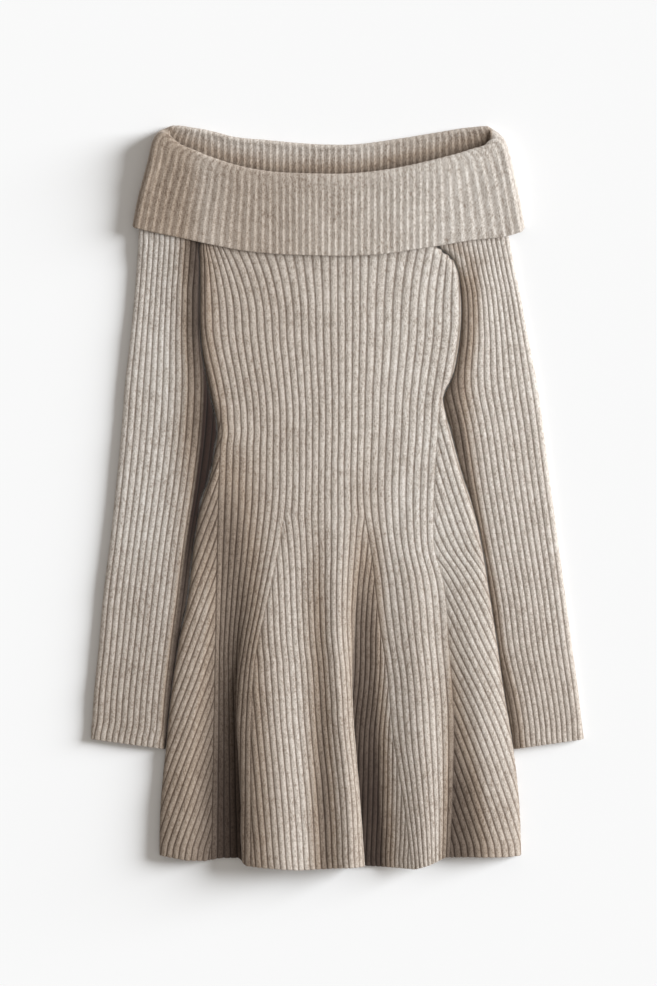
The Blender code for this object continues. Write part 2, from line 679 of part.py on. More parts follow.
def main():
    for piece in list(bpy.data.objects):
        bpy.data.objects.remove(piece, do_unlink=True)
    collection = bpy.data.collections.new("off-shoulder dress")
    bpy.context.scene.collection.children.link(collection)
    make_front(collection)
    make_back(collection)
    make_sleeve("sleeve_left", 1, 2, 1, collection)
    make_sleeve("sleeve_right", 4, 3, 2, collection)
    make_collar(collection)


main()
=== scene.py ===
import bmesh
import bpy
import numpy as np
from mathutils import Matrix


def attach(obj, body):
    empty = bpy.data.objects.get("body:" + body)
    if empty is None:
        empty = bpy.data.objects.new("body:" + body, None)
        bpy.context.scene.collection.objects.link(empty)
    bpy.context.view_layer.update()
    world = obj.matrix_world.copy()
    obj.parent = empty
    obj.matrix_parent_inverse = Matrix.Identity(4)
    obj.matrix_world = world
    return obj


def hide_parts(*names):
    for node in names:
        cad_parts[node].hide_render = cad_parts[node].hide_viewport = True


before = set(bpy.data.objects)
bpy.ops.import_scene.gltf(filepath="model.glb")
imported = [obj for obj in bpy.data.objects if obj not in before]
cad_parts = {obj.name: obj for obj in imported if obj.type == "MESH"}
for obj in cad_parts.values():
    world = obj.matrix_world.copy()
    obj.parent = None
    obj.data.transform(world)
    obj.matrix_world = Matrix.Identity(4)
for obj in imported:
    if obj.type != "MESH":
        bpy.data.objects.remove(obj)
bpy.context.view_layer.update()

mm = 0.001
print("frame loaded, nodes:", sorted(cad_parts))

# Rib knit. Sizes are in millimetres, in the frame's axes, until a mesh is made.
knit = {
    "wall": 2.0,          # thickness between the grooves and the back
    "wale": 0.5,          # a wale's top over the wall's mid outer face
    "groove": 0.65,       # a groove's foot below it
    "flank": 0.24,        # share of a rib from the groove's foot to the wale's top
    "wear": 0.12,         # how unevenly the wales stand
    "reverseRidge": 0.55, # the same for the reverse, which has narrow ridges and wide hollows
    "reverseHollow": 0.35,
    "pitch": 7.6,         # one rib, where the cloth lies straight
    "seam": 0.3,
    "stitch": 2.3,        # height of one stitch
    "scallop": 0.6,       # how far the wales stand out of a free edge, for their height
    # a free edge: how far out, share of the half wall
    "rim": [(0.0, 1.0), (0.5, 0.92), (1.0, 0.6), (1.25, 0.1)],
    "plainOut": 0.6,      # how far out the plain side goes there
    "plainEvery": 3,      # ribbed rows for each row of the plain side
    "cutFade": 0.16,      # ribs over which a cut rib's height fades
    "play": 0.5,          # between two layers of cloth
}
fullTurn = 6.283
ribSteps = np.array([0.0, 0.11, 0.24, 0.5, 0.76, 0.89])
floorMiddle = knit["wall"] / 2
neckline = 316.0
turnedUnder = 14.0
turnedPoints = 3
overBack = 1.5 * knit["wall"] + knit["play"]


def smoothStep(value):
    value = np.clip(value, 0.0, 1.0)
    return value * value * (3.0 - 2.0 * value)


def follow(places, values, at):
    # a smooth curve through values at rising places, read at any place
    places = np.asarray(places, float)
    values = np.asarray(values, float)
    slopes = np.gradient(values, places)
    at = np.clip(np.asarray(at, float), places[0], places[-1])
    left = np.clip(np.searchsorted(places, at, side="right") - 1, 0, len(places) - 2)
    width = places[left + 1] - places[left]
    t = (at - places[left]) / width
    start = (1 + 2 * t) * (1 - t) ** 2 * values[left] + t * (1 - t) ** 2 * width * slopes[left]
    end = t * t * (3 - 2 * t) * values[left + 1] + t * t * (t - 1) * width * slopes[left + 1]
    return start + end


def column(table, index, at):
    # one column of a table, read along a smooth curve
    rows = sorted(table)
    return follow([row[0] for row in rows], [row[index] for row in rows], at)


def read(table, at):
    # a table of pairs, read along straight lines
    rows = sorted(table)
    return np.interp(at, [row[0] for row in rows], [row[1] for row in rows])


def readPoints(at, places, points):
    return np.stack([np.interp(at, places, points[:, axis]) for axis in range(points.shape[1])], axis=1)


def runLength(points):
    return np.concatenate([[0.0], np.cumsum(np.linalg.norm(np.diff(points, axis=0), axis=1))])


def tangents(points):
    along = np.gradient(points, axis=0)
    return along / np.linalg.norm(along, axis=1)[:, None]


def spline(points, steps):
    # a rounded curve through control points, with so many steps from one to the next
    points = np.asarray(points, float)
    ends = np.vstack([2 * points[0] - points[1], points, 2 * points[-1] - points[-2]])
    knots = np.concatenate([[0.0], np.cumsum(np.linalg.norm(np.diff(ends, axis=0), axis=1) ** 0.5)])
    result = []
    for i in range(1, len(ends) - 2):
        t0, t1, t2, t3 = knots[i - 1:i + 3]
        t = np.linspace(t1, t2, steps, endpoint=False)[:, None]
        a1 = (t1 - t) / (t1 - t0) * ends[i - 1] + (t - t0) / (t1 - t0) * ends[i]
        a2 = (t2 - t) / (t2 - t1) * ends[i] + (t - t1) / (t2 - t1) * ends[i + 1]
        a3 = (t3 - t) / (t3 - t2) * ends[i + 1] + (t - t2) / (t3 - t2) * ends[i + 2]
        b1 = (t2 - t) / (t2 - t0) * a1 + (t - t0) / (t2 - t0) * a2
        b2 = (t3 - t) / (t3 - t1) * a2 + (t - t1) / (t3 - t1) * a3
        result.append((t2 - t) / (t2 - t1) * b1 + (t - t1) / (t2 - t1) * b2)
    result.append(points[-1:])
    return np.vstack(result)


def drift(x, y, size, seed):
    # slow waviness of cloth that lies loose, between about -1 and 1
    rng = np.random.default_rng(seed)
    total = np.zeros(np.broadcast(x, y).shape)
    for _ in range(5):
        angle = rng.uniform(0, fullTurn)
        wave = size * rng.uniform(0.6, 1.7)
        phase = rng.uniform(0, fullTurn)
        total = total + np.sin((x * np.cos(angle) + y * np.sin(angle)) * fullTurn / wave + phase)
    return total / 3


def creaseHeight(x, y, creases):
    # soft troughs and ridges along straight lines that fade out at both ends
    total = np.zeros(np.broadcast(x, y).shape)
    for x0, y0, x1, y1, width, rise in creases:
        length = np.hypot(x1 - x0, y1 - y0)
        along = ((x - x0) * (x1 - x0) + (y - y0) * (y1 - y0)) / length ** 2
        aside = ((x - x0) * (y1 - y0) - (y - y0) * (x1 - x0)) / length
        ends = smoothStep((along + 0.15) / 0.45) * smoothStep((1.15 - along) / 0.45)
        total = total + rise * ends * np.exp(-((aside / width) ** 2))
    return total


def soften(points, sizes, creases, low, over, share=1.0):
    # listed creases and loose waviness, from one height up and none below it
    rise, size, seed = sizes["loose"]
    x, y = points[:, 0], points[:, 1]
    change = creaseHeight(x, y, creases) + rise * drift(x, y, size, seed)
    points[:, 2] += share * smoothStep((points[:, 2] - low) / over) * change
    return points


def worn(keys, at, sizes):
    size, seed = sizes["wear"]
    return knit["wear"] * drift(keys * 9.0, np.full(len(keys), at), size, seed)


def rimRows(atEdge):
    return knit["rim"] if atEdge else knit["rim"][:1]


def stitches(y, out=0.0):
    return (neckline - y + out) / knit["stitch"]


def cutSize(widths, levels):
    # flat size and area of a cut, in metres
    return (max(widths) * mm, (neckline - levels[-1]) * mm), np.trapz(widths, -levels) * mm * mm


def ribKeys(first, last):
    whole = np.arange(np.floor(first), np.ceil(last) + 1)
    keys = (whole[:, None] + ribSteps[None, :]).ravel()
    keys = keys[(keys > first + 0.03) & (keys < last - 0.03)]
    return np.concatenate([[first], keys, [last]])


def ribHeight(keys, cutFirst=False, cutLast=False, reverse=False):
    # height of the outer face at places counted in ribs, with a groove at each whole number
    aside = np.abs(keys - np.round(keys))
    if reverse:
        top, foot = knit["reverseRidge"], -knit["reverseHollow"]
        share = smoothStep((aside - 0.14) / 0.36)
    else:
        top, foot = knit["wale"], -knit["groove"]
        share = smoothStep(aside / knit["flank"]) - 0.1 * (1 - smoothStep((0.5 - aside) / 0.2))
    if cutFirst:
        share = share * smoothStep((keys - keys[0]) / knit["cutFade"])
    if cutLast:
        share = share * smoothStep((keys[-1] - keys) / knit["cutFade"])
    return foot + (top - foot) * share


class Wall:
    # vertices, their painted shade, faces and face-corner UVs of one closed wall of knit
    def __init__(self):
        self.vertices = []
        self.shades = []
        self.faces = []
        self.uvs = []

    def row(self, points, shade=1.0):
        first = sum(len(part) for part in self.vertices)
        self.vertices.append(np.asarray(points, float))
        self.shades.append(np.broadcast_to(np.asarray(shade, float), len(points)))
        return np.arange(first, first + len(points))

    def join(self, a, b):
        # faces between two rows, each (vertices, keys, u, v), which meet where their keys are alike
        rowA, keysA, uA, vA = a
        rowB, keysB, uB, vB = b
        i = 0
        j = 0
        lastA = len(rowA) - 1
        lastB = len(rowB) - 1
        while i < lastA or j < lastB:
            nextA = keysA[i + 1] if i < lastA else np.inf
            nextB = keysB[j + 1] if j < lastB else np.inf
            if abs(nextA - nextB) < 1e-6:
                self.faces.append((rowA[i], rowA[i + 1], rowB[j + 1], rowB[j]))
                self.uvs += [(uA[i], vA), (uA[i + 1], vA), (uB[j + 1], vB), (uB[j], vB)]
                i += 1
                j += 1
            elif nextA < nextB:
                self.faces.append((rowA[i], rowA[i + 1], rowB[j]))
                self.uvs += [(uA[i], vA), (uA[i + 1], vA), (uB[j], vB)]
                i += 1
            else:
                self.faces.append((rowA[i], rowB[j + 1], rowB[j]))
                self.uvs += [(uA[i], vA), (uB[j + 1], vB), (uB[j], vB)]
                j += 1

    def strips(self, rows, turned=False):
        for above, below in zip(rows, rows[1:]):
            self.join(*((below, above) if turned else (above, below)))

    def border(self, rowA, rowB):
        # faces between two borders of unlike spacing, matched by how far along each point is
        points = np.vstack(self.vertices)
        along = [runLength(points[row]) for row in (rowA, rowB)]
        shareA, shareB = [each / each[-1] for each in along]
        self.join((rowA, shareA, shareA, 0.0), (rowB, shareB, shareB, 0.5))

    def build(self, name, material):
        mesh = bpy.data.meshes.new(name)
        faces = [tuple(map(int, face)) for face in self.faces]
        mesh.from_pydata((np.vstack(self.vertices) * mm).tolist(), [], faces)
        layer = mesh.uv_layers.new(name="ribs")
        layer.data.foreach_set("uv", np.asarray(self.uvs, np.float32).ravel())
        # painted shade for each point, read by the materials
        shade = mesh.attributes.new("shade", "FLOAT", "POINT")
        shade.data.foreach_set("value", np.concatenate(self.shades).astype(np.float32))
        body = bmesh.new()
        body.from_mesh(mesh)
        bmesh.ops.remove_doubles(body, verts=body.verts, dist=0.00001)
        bmesh.ops.recalc_face_normals(body, faces=body.faces)
        body.to_mesh(mesh)
        body.free()
        mesh.shade_smooth()
        mesh.materials.append(material)
        piece = bpy.data.objects.new(name, mesh)
        bpy.context.scene.collection.objects.link(piece)
        return piece


# Shader maths: a wrapped socket adds a Math node for each operator.
class Value:
    def __init__(self, shading, socket):
        self.shading = shading
        self.socket = socket

    def math(self, operation, *values):
        return self.shading.node("ShaderNodeMath", {"operation": operation}, dict(enumerate(values)))

    def __add__(self, other):
        return self.math("ADD", self, other)

    def __sub__(self, other):
        return self.math("SUBTRACT", self, other)

    def __rsub__(self, other):
        return self.math("SUBTRACT", other, self)

    def __mul__(self, other):
        return self.math("MULTIPLY", self, other)

    def __truediv__(self, other):
        return self.math("DIVIDE", self, other)

    def __pow__(self, other):
        return self.math("POWER", self, other)

    def absolute(self):
        return self.math("ABSOLUTE", self)

    def fraction(self):
        return self.math("FRACT", self)

    def ramp(self, low, high):
        # 0 at low and 1 at high, smooth between, and the other way round when low is above high
        return self.shading.node(
            "ShaderNodeMapRange", {"interpolation_type": "SMOOTHSTEP"},
            {"Value": self, "From Min": low, "From Max": high, "To Min": 0.0, "To Max": 1.0})


class Shading:
    def __init__(self, name):
        self.material = bpy.data.materials.new(name)
        self.material.use_nodes = True
        self.tree = self.material.node_tree
        self.tree.nodes.clear()

    def node(self, kind, settings=None, inputs=None, output=0):
        made = self.tree.nodes.new(kind)
        for key, value in (settings or {}).items():
            setattr(made, key, value)
        for key, value in (inputs or {}).items():
            if isinstance(value, Value):
                self.tree.links.new(value.socket, made.inputs[key])
            else:
                made.inputs[key].default_value = value
        return Value(self, made.outputs[output])

    def mix(self, share, first, second, blend="MIX"):
        return self.node("ShaderNodeMix", {"data_type": "RGBA", "blend_type": blend},
                         {0: share, 6: first, 7: second}, 2)

    def finish(self, inputs):
        shader = self.node("ShaderNodeBsdfPrincipled", {}, inputs)
        ending = self.tree.nodes.new("ShaderNodeOutputMaterial")
        self.tree.links.new(shader.socket, ending.inputs["Surface"])
        return self.material


wool = {
    "light": (0.705, 0.680, 0.648, 1.0),
    "mid": (0.580, 0.537, 0.491, 1.0),
    "dark": (0.29, 0.241, 0.202, 1.0),
    # painted shade: the colour that the grooves and the stitches' ends darken towards
    "groove": (0.17, 0.12, 0.09, 1.0),
    "halfShade": (0.60, 0.52, 0.45, 1.0),  # tint at half shade, and from there to full shade
    "deepShade": (0.055, 0.024, 0.017, 1.0),
    "sheen": (0.93, 0.87, 0.82, 1.0),
    "drawn": (1.0, 0.4, 1.0),  # the fibres lie along the dress
    "fibres": (900.0, 3.0, 0.6, 1.5),  # noise: scale, detail, roughness, weight in the blend
    "clumps": (330.0, 2.0, 0.5, 0.7),
    "patches": (22.0, 2.0, 0.5, 0.3),
    "relief": 0.0006,
    "hollow": 0.16,  # painted shade: how much darker a stitch is at its ends
}


def knitMaterial(name, tone=1.0, grooveShade=0.6, reverse=False):
    # melange wool: fibres of three colours, V stitches on the wales, painted shade down in the grooves and at
    # the stitches' ends, and painted shade and light from the 'shade' attribute
    s = Shading(name)

    def yarn(which):
        return [part * tone for part in wool[which][:3]] + [1.0]

    def mottle(which, at):
        scale, detail, roughness, weight = wool[which]
        noise = s.node("ShaderNodeTexNoise", {}, {
            "Vector": at, "Scale": scale, "Detail": detail, "Roughness": roughness})
        return noise, (noise - 0.5) * weight

    uv = s.node("ShaderNodeUVMap", {"uv_map": "ribs"})
    u, v = [s.node("ShaderNodeSeparateXYZ", {}, {0: uv}, axis) for axis in (0, 1)]
    place = s.node("ShaderNodeTexCoord", {}, {}, 3)
    aside = (u.fraction() - 0.5).absolute() * 2.0  # 0 on a wale's middle, 1 in the groove
    drawn = s.node("ShaderNodeVectorMath", {"operation": "MULTIPLY"}, {0: place, 1: wool["drawn"]})
    fibres, fine = mottle("fibres", drawn)
    blend = fine + mottle("clumps", drawn)[1] + mottle("patches", place)[1] + 0.5
    colour = s.mix(blend.ramp(0.12, 0.62), yarn("dark"), yarn("mid"))
    colour = s.mix(blend.ramp(0.5, 0.95), colour, yarn("light"))
    if reverse:
        grooveShadeStart = 0.35
        stitch = (v + u * 2.0).fraction()
    else:
        grooveShadeStart = 0.55
        inColumn = ((aside / 0.72).fraction() - 0.5).absolute() * 2.0  # 0 on a column's middle
        stitch = (v + inColumn * 0.5).fraction()
    # painted shade down in the grooves
    groove = aside.ramp(grooveShadeStart, 1.0) * grooveShade
    loop = 1.0 - ((stitch - 0.5) * 2.0) ** 2.0
    if reverse:
        height = loop * 0.5 * aside.ramp(0.1, 0.9) + fibres * 0.9
    else:
        height = loop * 0.6 * inColumn.ramp(-0.1, 0.35) + fibres * 0.6 + aside.ramp(0.0, 0.12) * 0.25
    shade = s.node("ShaderNodeAttribute", {"attribute_name": "shade"}, {}, 2)
    colour = s.mix(groove * (1.6 - shade * 0.6), colour, wool["groove"])
    # painted shade at each stitch's ends
    colour = s.mix((1.0 - loop) * wool["hollow"], colour, wool["groove"])
    # painted shade and light from the 'shade' attribute: at 1 the colour stays, at a half it takes the warm
    # half shade, at 0 it is near black-brown
    halfShaded = s.mix(1.0, colour, wool["halfShade"], "MULTIPLY")
    deep = s.mix(1.0, halfShaded, wool["deepShade"], "MULTIPLY")
    colour = s.mix((1.0 - shade) * 2.0, colour, halfShaded)
    colour = s.mix(1.0 - shade * 2.0, colour, deep)
    bump = s.node("ShaderNodeBump", {}, {"Strength": 0.5, "Distance": wool["relief"], "Height": height})
    return s.finish({
        "Base Color": colour, "Roughness": 0.95, "Normal": bump, "Specular IOR Level": 0.12,
        "Sheen Weight": 0.35, "Sheen Roughness": 0.6, "Sheen Tint": wool["sheen"]})


# Body: outlines, folds and gores
body = {
    "outline": [  # Y, X of the left edge, X of the right edge
        (316, -136.5, 90.0), (299, -145.0, 98.0), (280, -153.2, 111.0), (264, -153.0, 129.5),
        (253, -152.9, 134.3), (231, -152.7, 137.6), (184, -152.1, 137.6), (159, -149.8, 134.3),
        (136, -145.5, 129.3), (110, -140.0, 118.5), (92, -135.4, 121.5), (75, -133.2, 126.5),
        (50, -136.5, 133.0), (20, -142.8, 141.0), (3, -149.0, 147.0), (-47, -158.7, 159.8),
        (-114, -166.5, 171.0), (-160, -176.0, 178.0), (-217, -184.3, 186.2), (-273, -189.8, 195.4),
        (-345, -196.4, 203.1), (-412, -197.8, 205.2)],
    "hem": [  # X, Y
        (-198, -395), (-168, -400.5), (-146, -401.5), (-128, -398.5), (-109, -398.5), (-101, -406),
        (-74, -408.5), (-41, -410.5), (30, -407), (87, -410), (103, -405.5), (120, -397.5), (150, -397),
        (186, -397), (205, -395.5)],
    "foldStations": [75, -19, -125, -225, -325, -408],
    "folds": [  # name, X at the stations, height at the stations
        ("left crest", (-121, -139, -146, -157, -163, -165), (6.5, 7.0, 8.5, 11.0, 13.0, 14.0)),
        ("left valley", (-111, -123, -127, -129, -130, -129), (6.5, 6.3, 5.2, 4.2, 3.8, 3.8)),
        ("left tuck", (-99, -108, -110, -108, -100, -94), (6.5, 6.5, 6.0, 5.2, 5.0, 5.0)),
        ("centre left edge", (-83, -92, -100, -110, -106, -104), (6.5, 7.2, 9.5, 13.5, 16.5, 17.5)),
        ("centre left crest", (-58, -68, -76, -72, -66, -63), (6.8, 8.5, 15.0, 22.0, 27.5, 30.0)),
        ("centre dip", (-21, -21, -19, -17, -14, -12), (7.0, 8.5, 13.0, 17.0, 20.0, 22.0)),
        ("centre right crest", (9, 6, 0, 4, 14, 18), (7.0, 9.0, 16.0, 22.0, 26.5, 28.5)),
        ("centre right edge", (26, 19, 13, 16, 24, 30), (6.8, 8.2, 11.5, 14.0, 16.0, 17.0)),
        ("right tuck", (41, 32, 22, 15, 15, 18), (6.6, 7.0, 6.6, 5.6, 5.0, 5.0)),
        ("right valley", (57, 48, 41, 42, 46, 49), (6.5, 6.5, 5.2, 4.2, 3.8, 3.8)),
        ("right crest", (76, 79, 87, 90, 94, 96), (6.6, 7.4, 11.0, 15.2, 18.4, 19.4)),
        ("sharp valley", (94, 106, 119, 128, 130, 124), (6.5, 6.8, 7.5, 9.0, 10.0, 9.5)),
        ("outer crest", (110, 130, 145, 158, 167, 170), (6.5, 7.2, 10.0, 13.0, 15.5, 16.5))],
    "shades": [  # place among the section's points (the left crest is 4), painted shade at the stations: darker in the valleys, the tucks and by the edges
        (2, (0.3, 0.3, 0.35, 0.35, 0.3, 0.3)),
        (3, (0.5, 0.45, 0.6, 0.7, 0.55, 0.5)),
        (4, (0.75, 0.5, 0.75, 0.65, 0.55, 0.45)),
        (4.5, (0.85, 0.45, 0.5, 0.42, 0.3, 0.25)),
        (5, (0.95, 0.42, 0.32, 0.2, 0.08, 0.08)),
        (6, (0.95, 0.5, 0.3, 0.2, 0.1, 0.1)),
        (7, (0.95, 0.72, 0.38, 0.35, 0.35, 0.4)),
        (7.5, (0.95, 0.85, 0.55, 0.44, 0.48, 0.5)),
        (8, (0.95, 0.98, 0.85, 0.82, 0.82, 0.82)),
        (8.5, (1.0, 1.0, 1.0, 1.0, 1.0, 1.0)),
        (9, (1.0, 0.95, 0.52, 0.4, 0.24, 0.34)),
        (9.5, (1.0, 1.0, 0.85, 0.75, 0.8, 0.7)),
        (10, (1.0, 1.0, 0.9, 0.82, 0.84, 0.82)),
        (11, (1.0, 0.8, 0.7, 0.68, 0.72, 0.7)),
        (12, (1.0, 0.8, 0.24, 0.1, 0.06, 0.06)),
        (13, (1.0, 0.88, 0.34, 0.2, 0.05, 0.07)),
        (13.4, (1.0, 1.0, 1.0, 1.0, 0.85, 0.8)),
        (13.7, (1.0, 1.0, 1.0, 1.0, 0.95, 0.85)),
        (14, (1.0, 1.0, 0.95, 0.93, 0.92, 0.9)),
        (14.5, (1.0, 1.0, 1.0, 0.95, 0.95, 0.9)),
        (14.8, (1.0, 1.0, 1.0, 0.8, 0.45, 0.4)),
        (15, (1.0, 1.0, 1.0, 0.45, 0.14, 0.16)),
        (15.5, (1.0, 1.0, 1.0, 0.85, 0.42, 0.28)),
        (16, (1.0, 1.0, 1.0, 1.0, 0.85, 0.6)),
        (17, (1.0, 0.9, 1.0, 1.0, 0.95, 0.75)),
        (18, (0.6, 0.6, 0.6, 0.6, 0.6, 0.6))],
    "sideRoll": [(316, 6.5), (75, 6.5), (-125, 7.5), (-412, 9.0)],  # Y, height
    "gores": {  # Y, X of the lines where new ribs are born
        "gore 1": [(86, -128.8), (-16, -132.1), (-225, -136.5), (-412, -140.0)],
        "gore 2": [(86, -56.0), (-21, -58.8), (-66, -66.6), (-112, -76.6), (-177, -90.5), (-225, -94.0),
                   (-325, -95.0), (-412, -95.0)],
        "gore 3": [(86, 30.6), (-17, 30.6), (-64, 38.4), (-133, 46.6), (-196, 56.6), (-258, 62.2),
                   (-315, 71.7), (-352, 77.4), (-412, 84.4)],
        "gore 4": [(86, 113.0), (31, 109.0), (-12, 107.4), (-59, 108.8), (-86, 116.6), (-167, 124.3),
                   (-244, 129.9), (-318, 128.8), (-412, 124.3)]},
    "goreStretch": {"gore 1": (3, 5), "gore 2": (7, 9), "gore 3": (10, 14), "gore 4": (14, 17)},
    "births": {  # Y, new ribs so far
        "gore 1": [(86, 0), (-70, 7.4), (-200, 13.8), (-300, 19), (-385, 23.2), (-412, 23.8)],
        "gore 2": [(86, 0), (-19, 0), (-67, 2), (-178, 6.5), (-260, 8), (-412, 10)],
        "gore 3": [(86, 0), (-19, 0), (-90, 3), (-389, 13.7), (-412, 14)],
        "gore 4": [(86, 0), (-100, 8.6), (-300, 19), (-385, 23.4), (-412, 24)]},
    "outerPitch": {  # Y, one rib of the outermost gores, across the dress
        "gore 1": [(86, 7.2), (0, 7.2), (-100, 7.2), (-300, 7.0), (-385, 6.8), (-412, 6.7)],
        "gore 4": [(86, 7.2), (0, 7.6), (-412, 7.6)]},
    "centreUneven": 0.15,     # how much closer the centre's ribs lie at its right gore line
    "unevenFrom": (-20.0, 200.0),  # Y, and over this length down
    "light": [(-140, 0.74), (0, 0.86), (100, 1.0)],  # X, painted light above the skirt: lighter to the right, the side the light comes from
    "skirtLight": 0.87,
    "skirtLightFrom": (-125.0, 100.0),
    "fan": {  # how far the ribs run out to the side at the top, at places from each edge
        "from": 195.0,
        "to": 276.0,
        "inset": 18.0,
        "most": 1.15,
        "curve": 1.8,
        "left": [(0, 0), (19, 12), (48, 23), (83, 18), (111, 9), (145, 0)],
        "right": [(0, 0), (25, 10), (60, 9), (110, 0)]},
    "skirtTop": 86.0,
    "skirtEnd": -398.0,
    "skirtRows": 120,
    "bodiceRows": 40,
    "bandRibs": 10,
    "centreRibs": 12,
    "chest": 231.0,
    "straightFrom": 200.0,
    "lift": (2.5, 250.0, 284.0),
    "loose": (0.35, 70.0, 5),  # waviness: rise, size and seed
    "wear": (26.0, 11),        # size and seed
    "sway": (0.18, 31.0, 34.0, 3),  # of the ribs to the side: how far, step for a rib, size and seed
    "ribbed": (2.2, 17.8, 0.9),  # first and last place with ribs, in control points, and their fade
    "plainPoints": 120,
    "backPoints": 70,
    "backEvery": 4,
    "backInset": 0.4,
    "creases": [  # X, Y of both ends, half width, rise
        (-146, 120, -92, 96, 9, -0.9),
        (-141, 86, -70, 78, 8, -0.7),
        (122, 128, 70, 104, 10, -0.9),
        (118, 96, 60, 92, 7, 0.6),
        (132, 255, 96, 214, 8, -0.8),
        (-60, 208, 40, 196, 16, 0.5),
        (-150, 226, -112, 180, 9, -0.7),
        (-30, 40, -52, -40, 8, 0.6),
        (84, 30, 60, -60, 9, -0.7)],
}


def lift(y):
    rise, start, end = body["lift"]
    return rise * smoothStep((y - start) / (end - start))


class Section:
    # the middle of the front's wall across the dress, as a curve in X and Z that is read by its length
    def __init__(self, controls, rise, shades, steps=18):
        self.steps = steps
        self.shades = shades
        self.points = spline(controls, steps)
        lowest = np.full(len(self.points), overBack)
        lowest[:turnedPoints * steps] = floorMiddle
        lowest[-turnedPoints * steps:] = floorMiddle
        self.points[:, 1] = np.maximum(self.points[:, 1], lowest) + rise
        self.length = runLength(self.points)
        self.normals = tangents(self.points) @ [[0.0, 1.0], [-1.0, 0.0]]

    def at(self, length):
        return [readPoints(length, self.length, each) for each in (self.points, self.normals)]

    def placeAt(self, length):
        # place counted in control points
        return np.interp(length, self.length, np.arange(len(self.length)) / self.steps)

    def shadeAt(self, length):
        return np.interp(self.placeAt(length), [at for at, _ in body["shades"]], self.shades)

    def lengthAt(self, x, first, last):
        # the length at which the curve last reaches x, between two of its control points
        part = slice(first * self.steps, last * self.steps + 1)
        xs = self.points[part, 0]
        lengths = self.length[part]
        reached = np.nonzero(xs <= x)[0]
        if not len(reached):
            return lengths[0]
        at = reached[-1]
        if at + 1 >= len(xs):
            return lengths[at]
        share = (x - xs[at]) / (xs[at + 1] - xs[at])
        return lengths[at] + share * (lengths[at + 1] - lengths[at])


def frontControls(y):
    left = column(body["outline"], 1, y)
    right = column(body["outline"], 2, y)
    roll = column(body["sideRoll"], 1, y)
    controls = [(left + turnedUnder, floorMiddle), (left + 5.5, floorMiddle),
                (left + 1.5, (floorMiddle + roll) / 2), (left + 5.5, roll)]
    stations = body["foldStations"]
    down = [-station for station in stations]
    waistLeft = column(body["outline"], 1, stations[0])
    waistRight = column(body["outline"], 2, stations[0])
    for _, xs, heights in body["folds"]:
        if y < stations[0]:
            x = follow(down, xs, -y)
        else:
            x = left + (xs[0] - waistLeft) / (waistRight - waistLeft) * (right - left)
        controls.append((x, follow(down, heights, -y)))
    controls += [(right - 5.5, roll), (right - 1.5, (floorMiddle + roll) / 2), (right - 5.5, floorMiddle),
                 (right - turnedUnder, floorMiddle)]
    return np.array(controls, float)


def frontShades(y):
    down = [-station for station in body["foldStations"]]
    return [np.interp(-y, down, values) for _, values in body["shades"]]


# painted light: above the skirt the front grows lighter to the right, and on the skirt it is evenly a little
# darker
def frontLight(x, y):
    start, over = body["skirtLightFrom"]
    above = smoothStep((y - start) / over)
    return body["skirtLight"] * (1.0 - above) + read(body["light"], x) * above


def goreX(name, y):
    line = body["gores"][name]
    top = body["skirtTop"]
    if y <= top:
        return column(line, 1, y)
    topLeft = column(body["outline"], 1, top)
    topRight = column(body["outline"], 2, top)
    left = column(body["outline"], 1, body["chest"])
    right = column(body["outline"], 2, body["chest"])
    high = left + (line[0][1] - topLeft) / (topRight - topLeft) * (right - left)
    return line[0][1] + (high - line[0][1]) * smoothStep((y - top) / (body["straightFrom"] - top))


def frontZones(section, y, chestLength):
    # for each stretch of ribs: its keys, where they lie on the section, and whether a gore line cuts it
    births = {name: read(table, y) for name, table in body["births"].items()}
    lines = {}
    for name, stretch in body["goreStretch"].items():
        lines[name] = section.lengthAt(goreX(name, y), *stretch)
    band = body["bandRibs"]

    def between(keys, first, second):
        return lines[first] + keys / band * (lines[second] - lines[first])

    zones = {}
    pitch = column(body["outerPitch"]["gore 1"], 1, y)
    new = births["gore 1"]
    keys = ribKeys(new - lines["gore 1"] / pitch, new)
    zones["left"] = (keys, lines["gore 1"] - (new - keys) * pitch, (False, True))
    keys = ribKeys(0, band)
    zones["left band"] = (keys, between(keys, "gore 1", "gore 2"), (False, False))
    first = -births["gore 2"]
    last = body["centreRibs"] + births["gore 3"]
    keys = ribKeys(first, last)
    width = lines["gore 3"] - lines["gore 2"]
    share = (keys - first) / (last - first)
    start, over = body["unevenFrom"]
    uneven = body["centreUneven"] * smoothStep((start - y) / over)
    share = share + uneven * share * (1.0 - share)
    zones["centre"] = (keys, lines["gore 2"] + share * width, (True, True))
    total = section.length[-1]
    if y >= body["skirtTop"]:
        sidePitch = (goreX("gore 4", y) - goreX("gore 3", y)) / band
        keys = ribKeys(0, (total - lines["gore 3"]) / sidePitch)
        zones["side"] = (keys, lines["gore 3"] + keys * sidePitch, (False, False))
    if y <= body["skirtTop"]:
        keys = ribKeys(0, band)
        zones["right band"] = (keys, between(keys, "gore 3", "gore 4"), (False, False))
        pitch = column(body["outerPitch"]["gore 4"], 1, y)
        new = births["gore 4"]
        keys = ribKeys(band - new, band - new + (total - lines["gore 4"]) / pitch)
        zones["right"] = (keys, lines["gore 4"] + (keys - band + new) * pitch, (True, False))
    fan = body["fan"]
    spread = np.clip((y - fan["from"]) / (fan["to"] - fan["from"]), 0.0, fan["most"]) ** fan["curve"]
    edge = total
    if y > body["chest"]:
        edge = chestLength - column(body["outline"], 1, y) + column(body["outline"], 1, body["chest"])
    for name, (keys, lengths, cuts) in zones.items():
        aside = read(fan["right"], edge - fan["inset"] - lengths) - read(fan["left"], lengths - fan["inset"])
        zones[name] = (keys, lengths + spread * aside, cuts)
    return zones


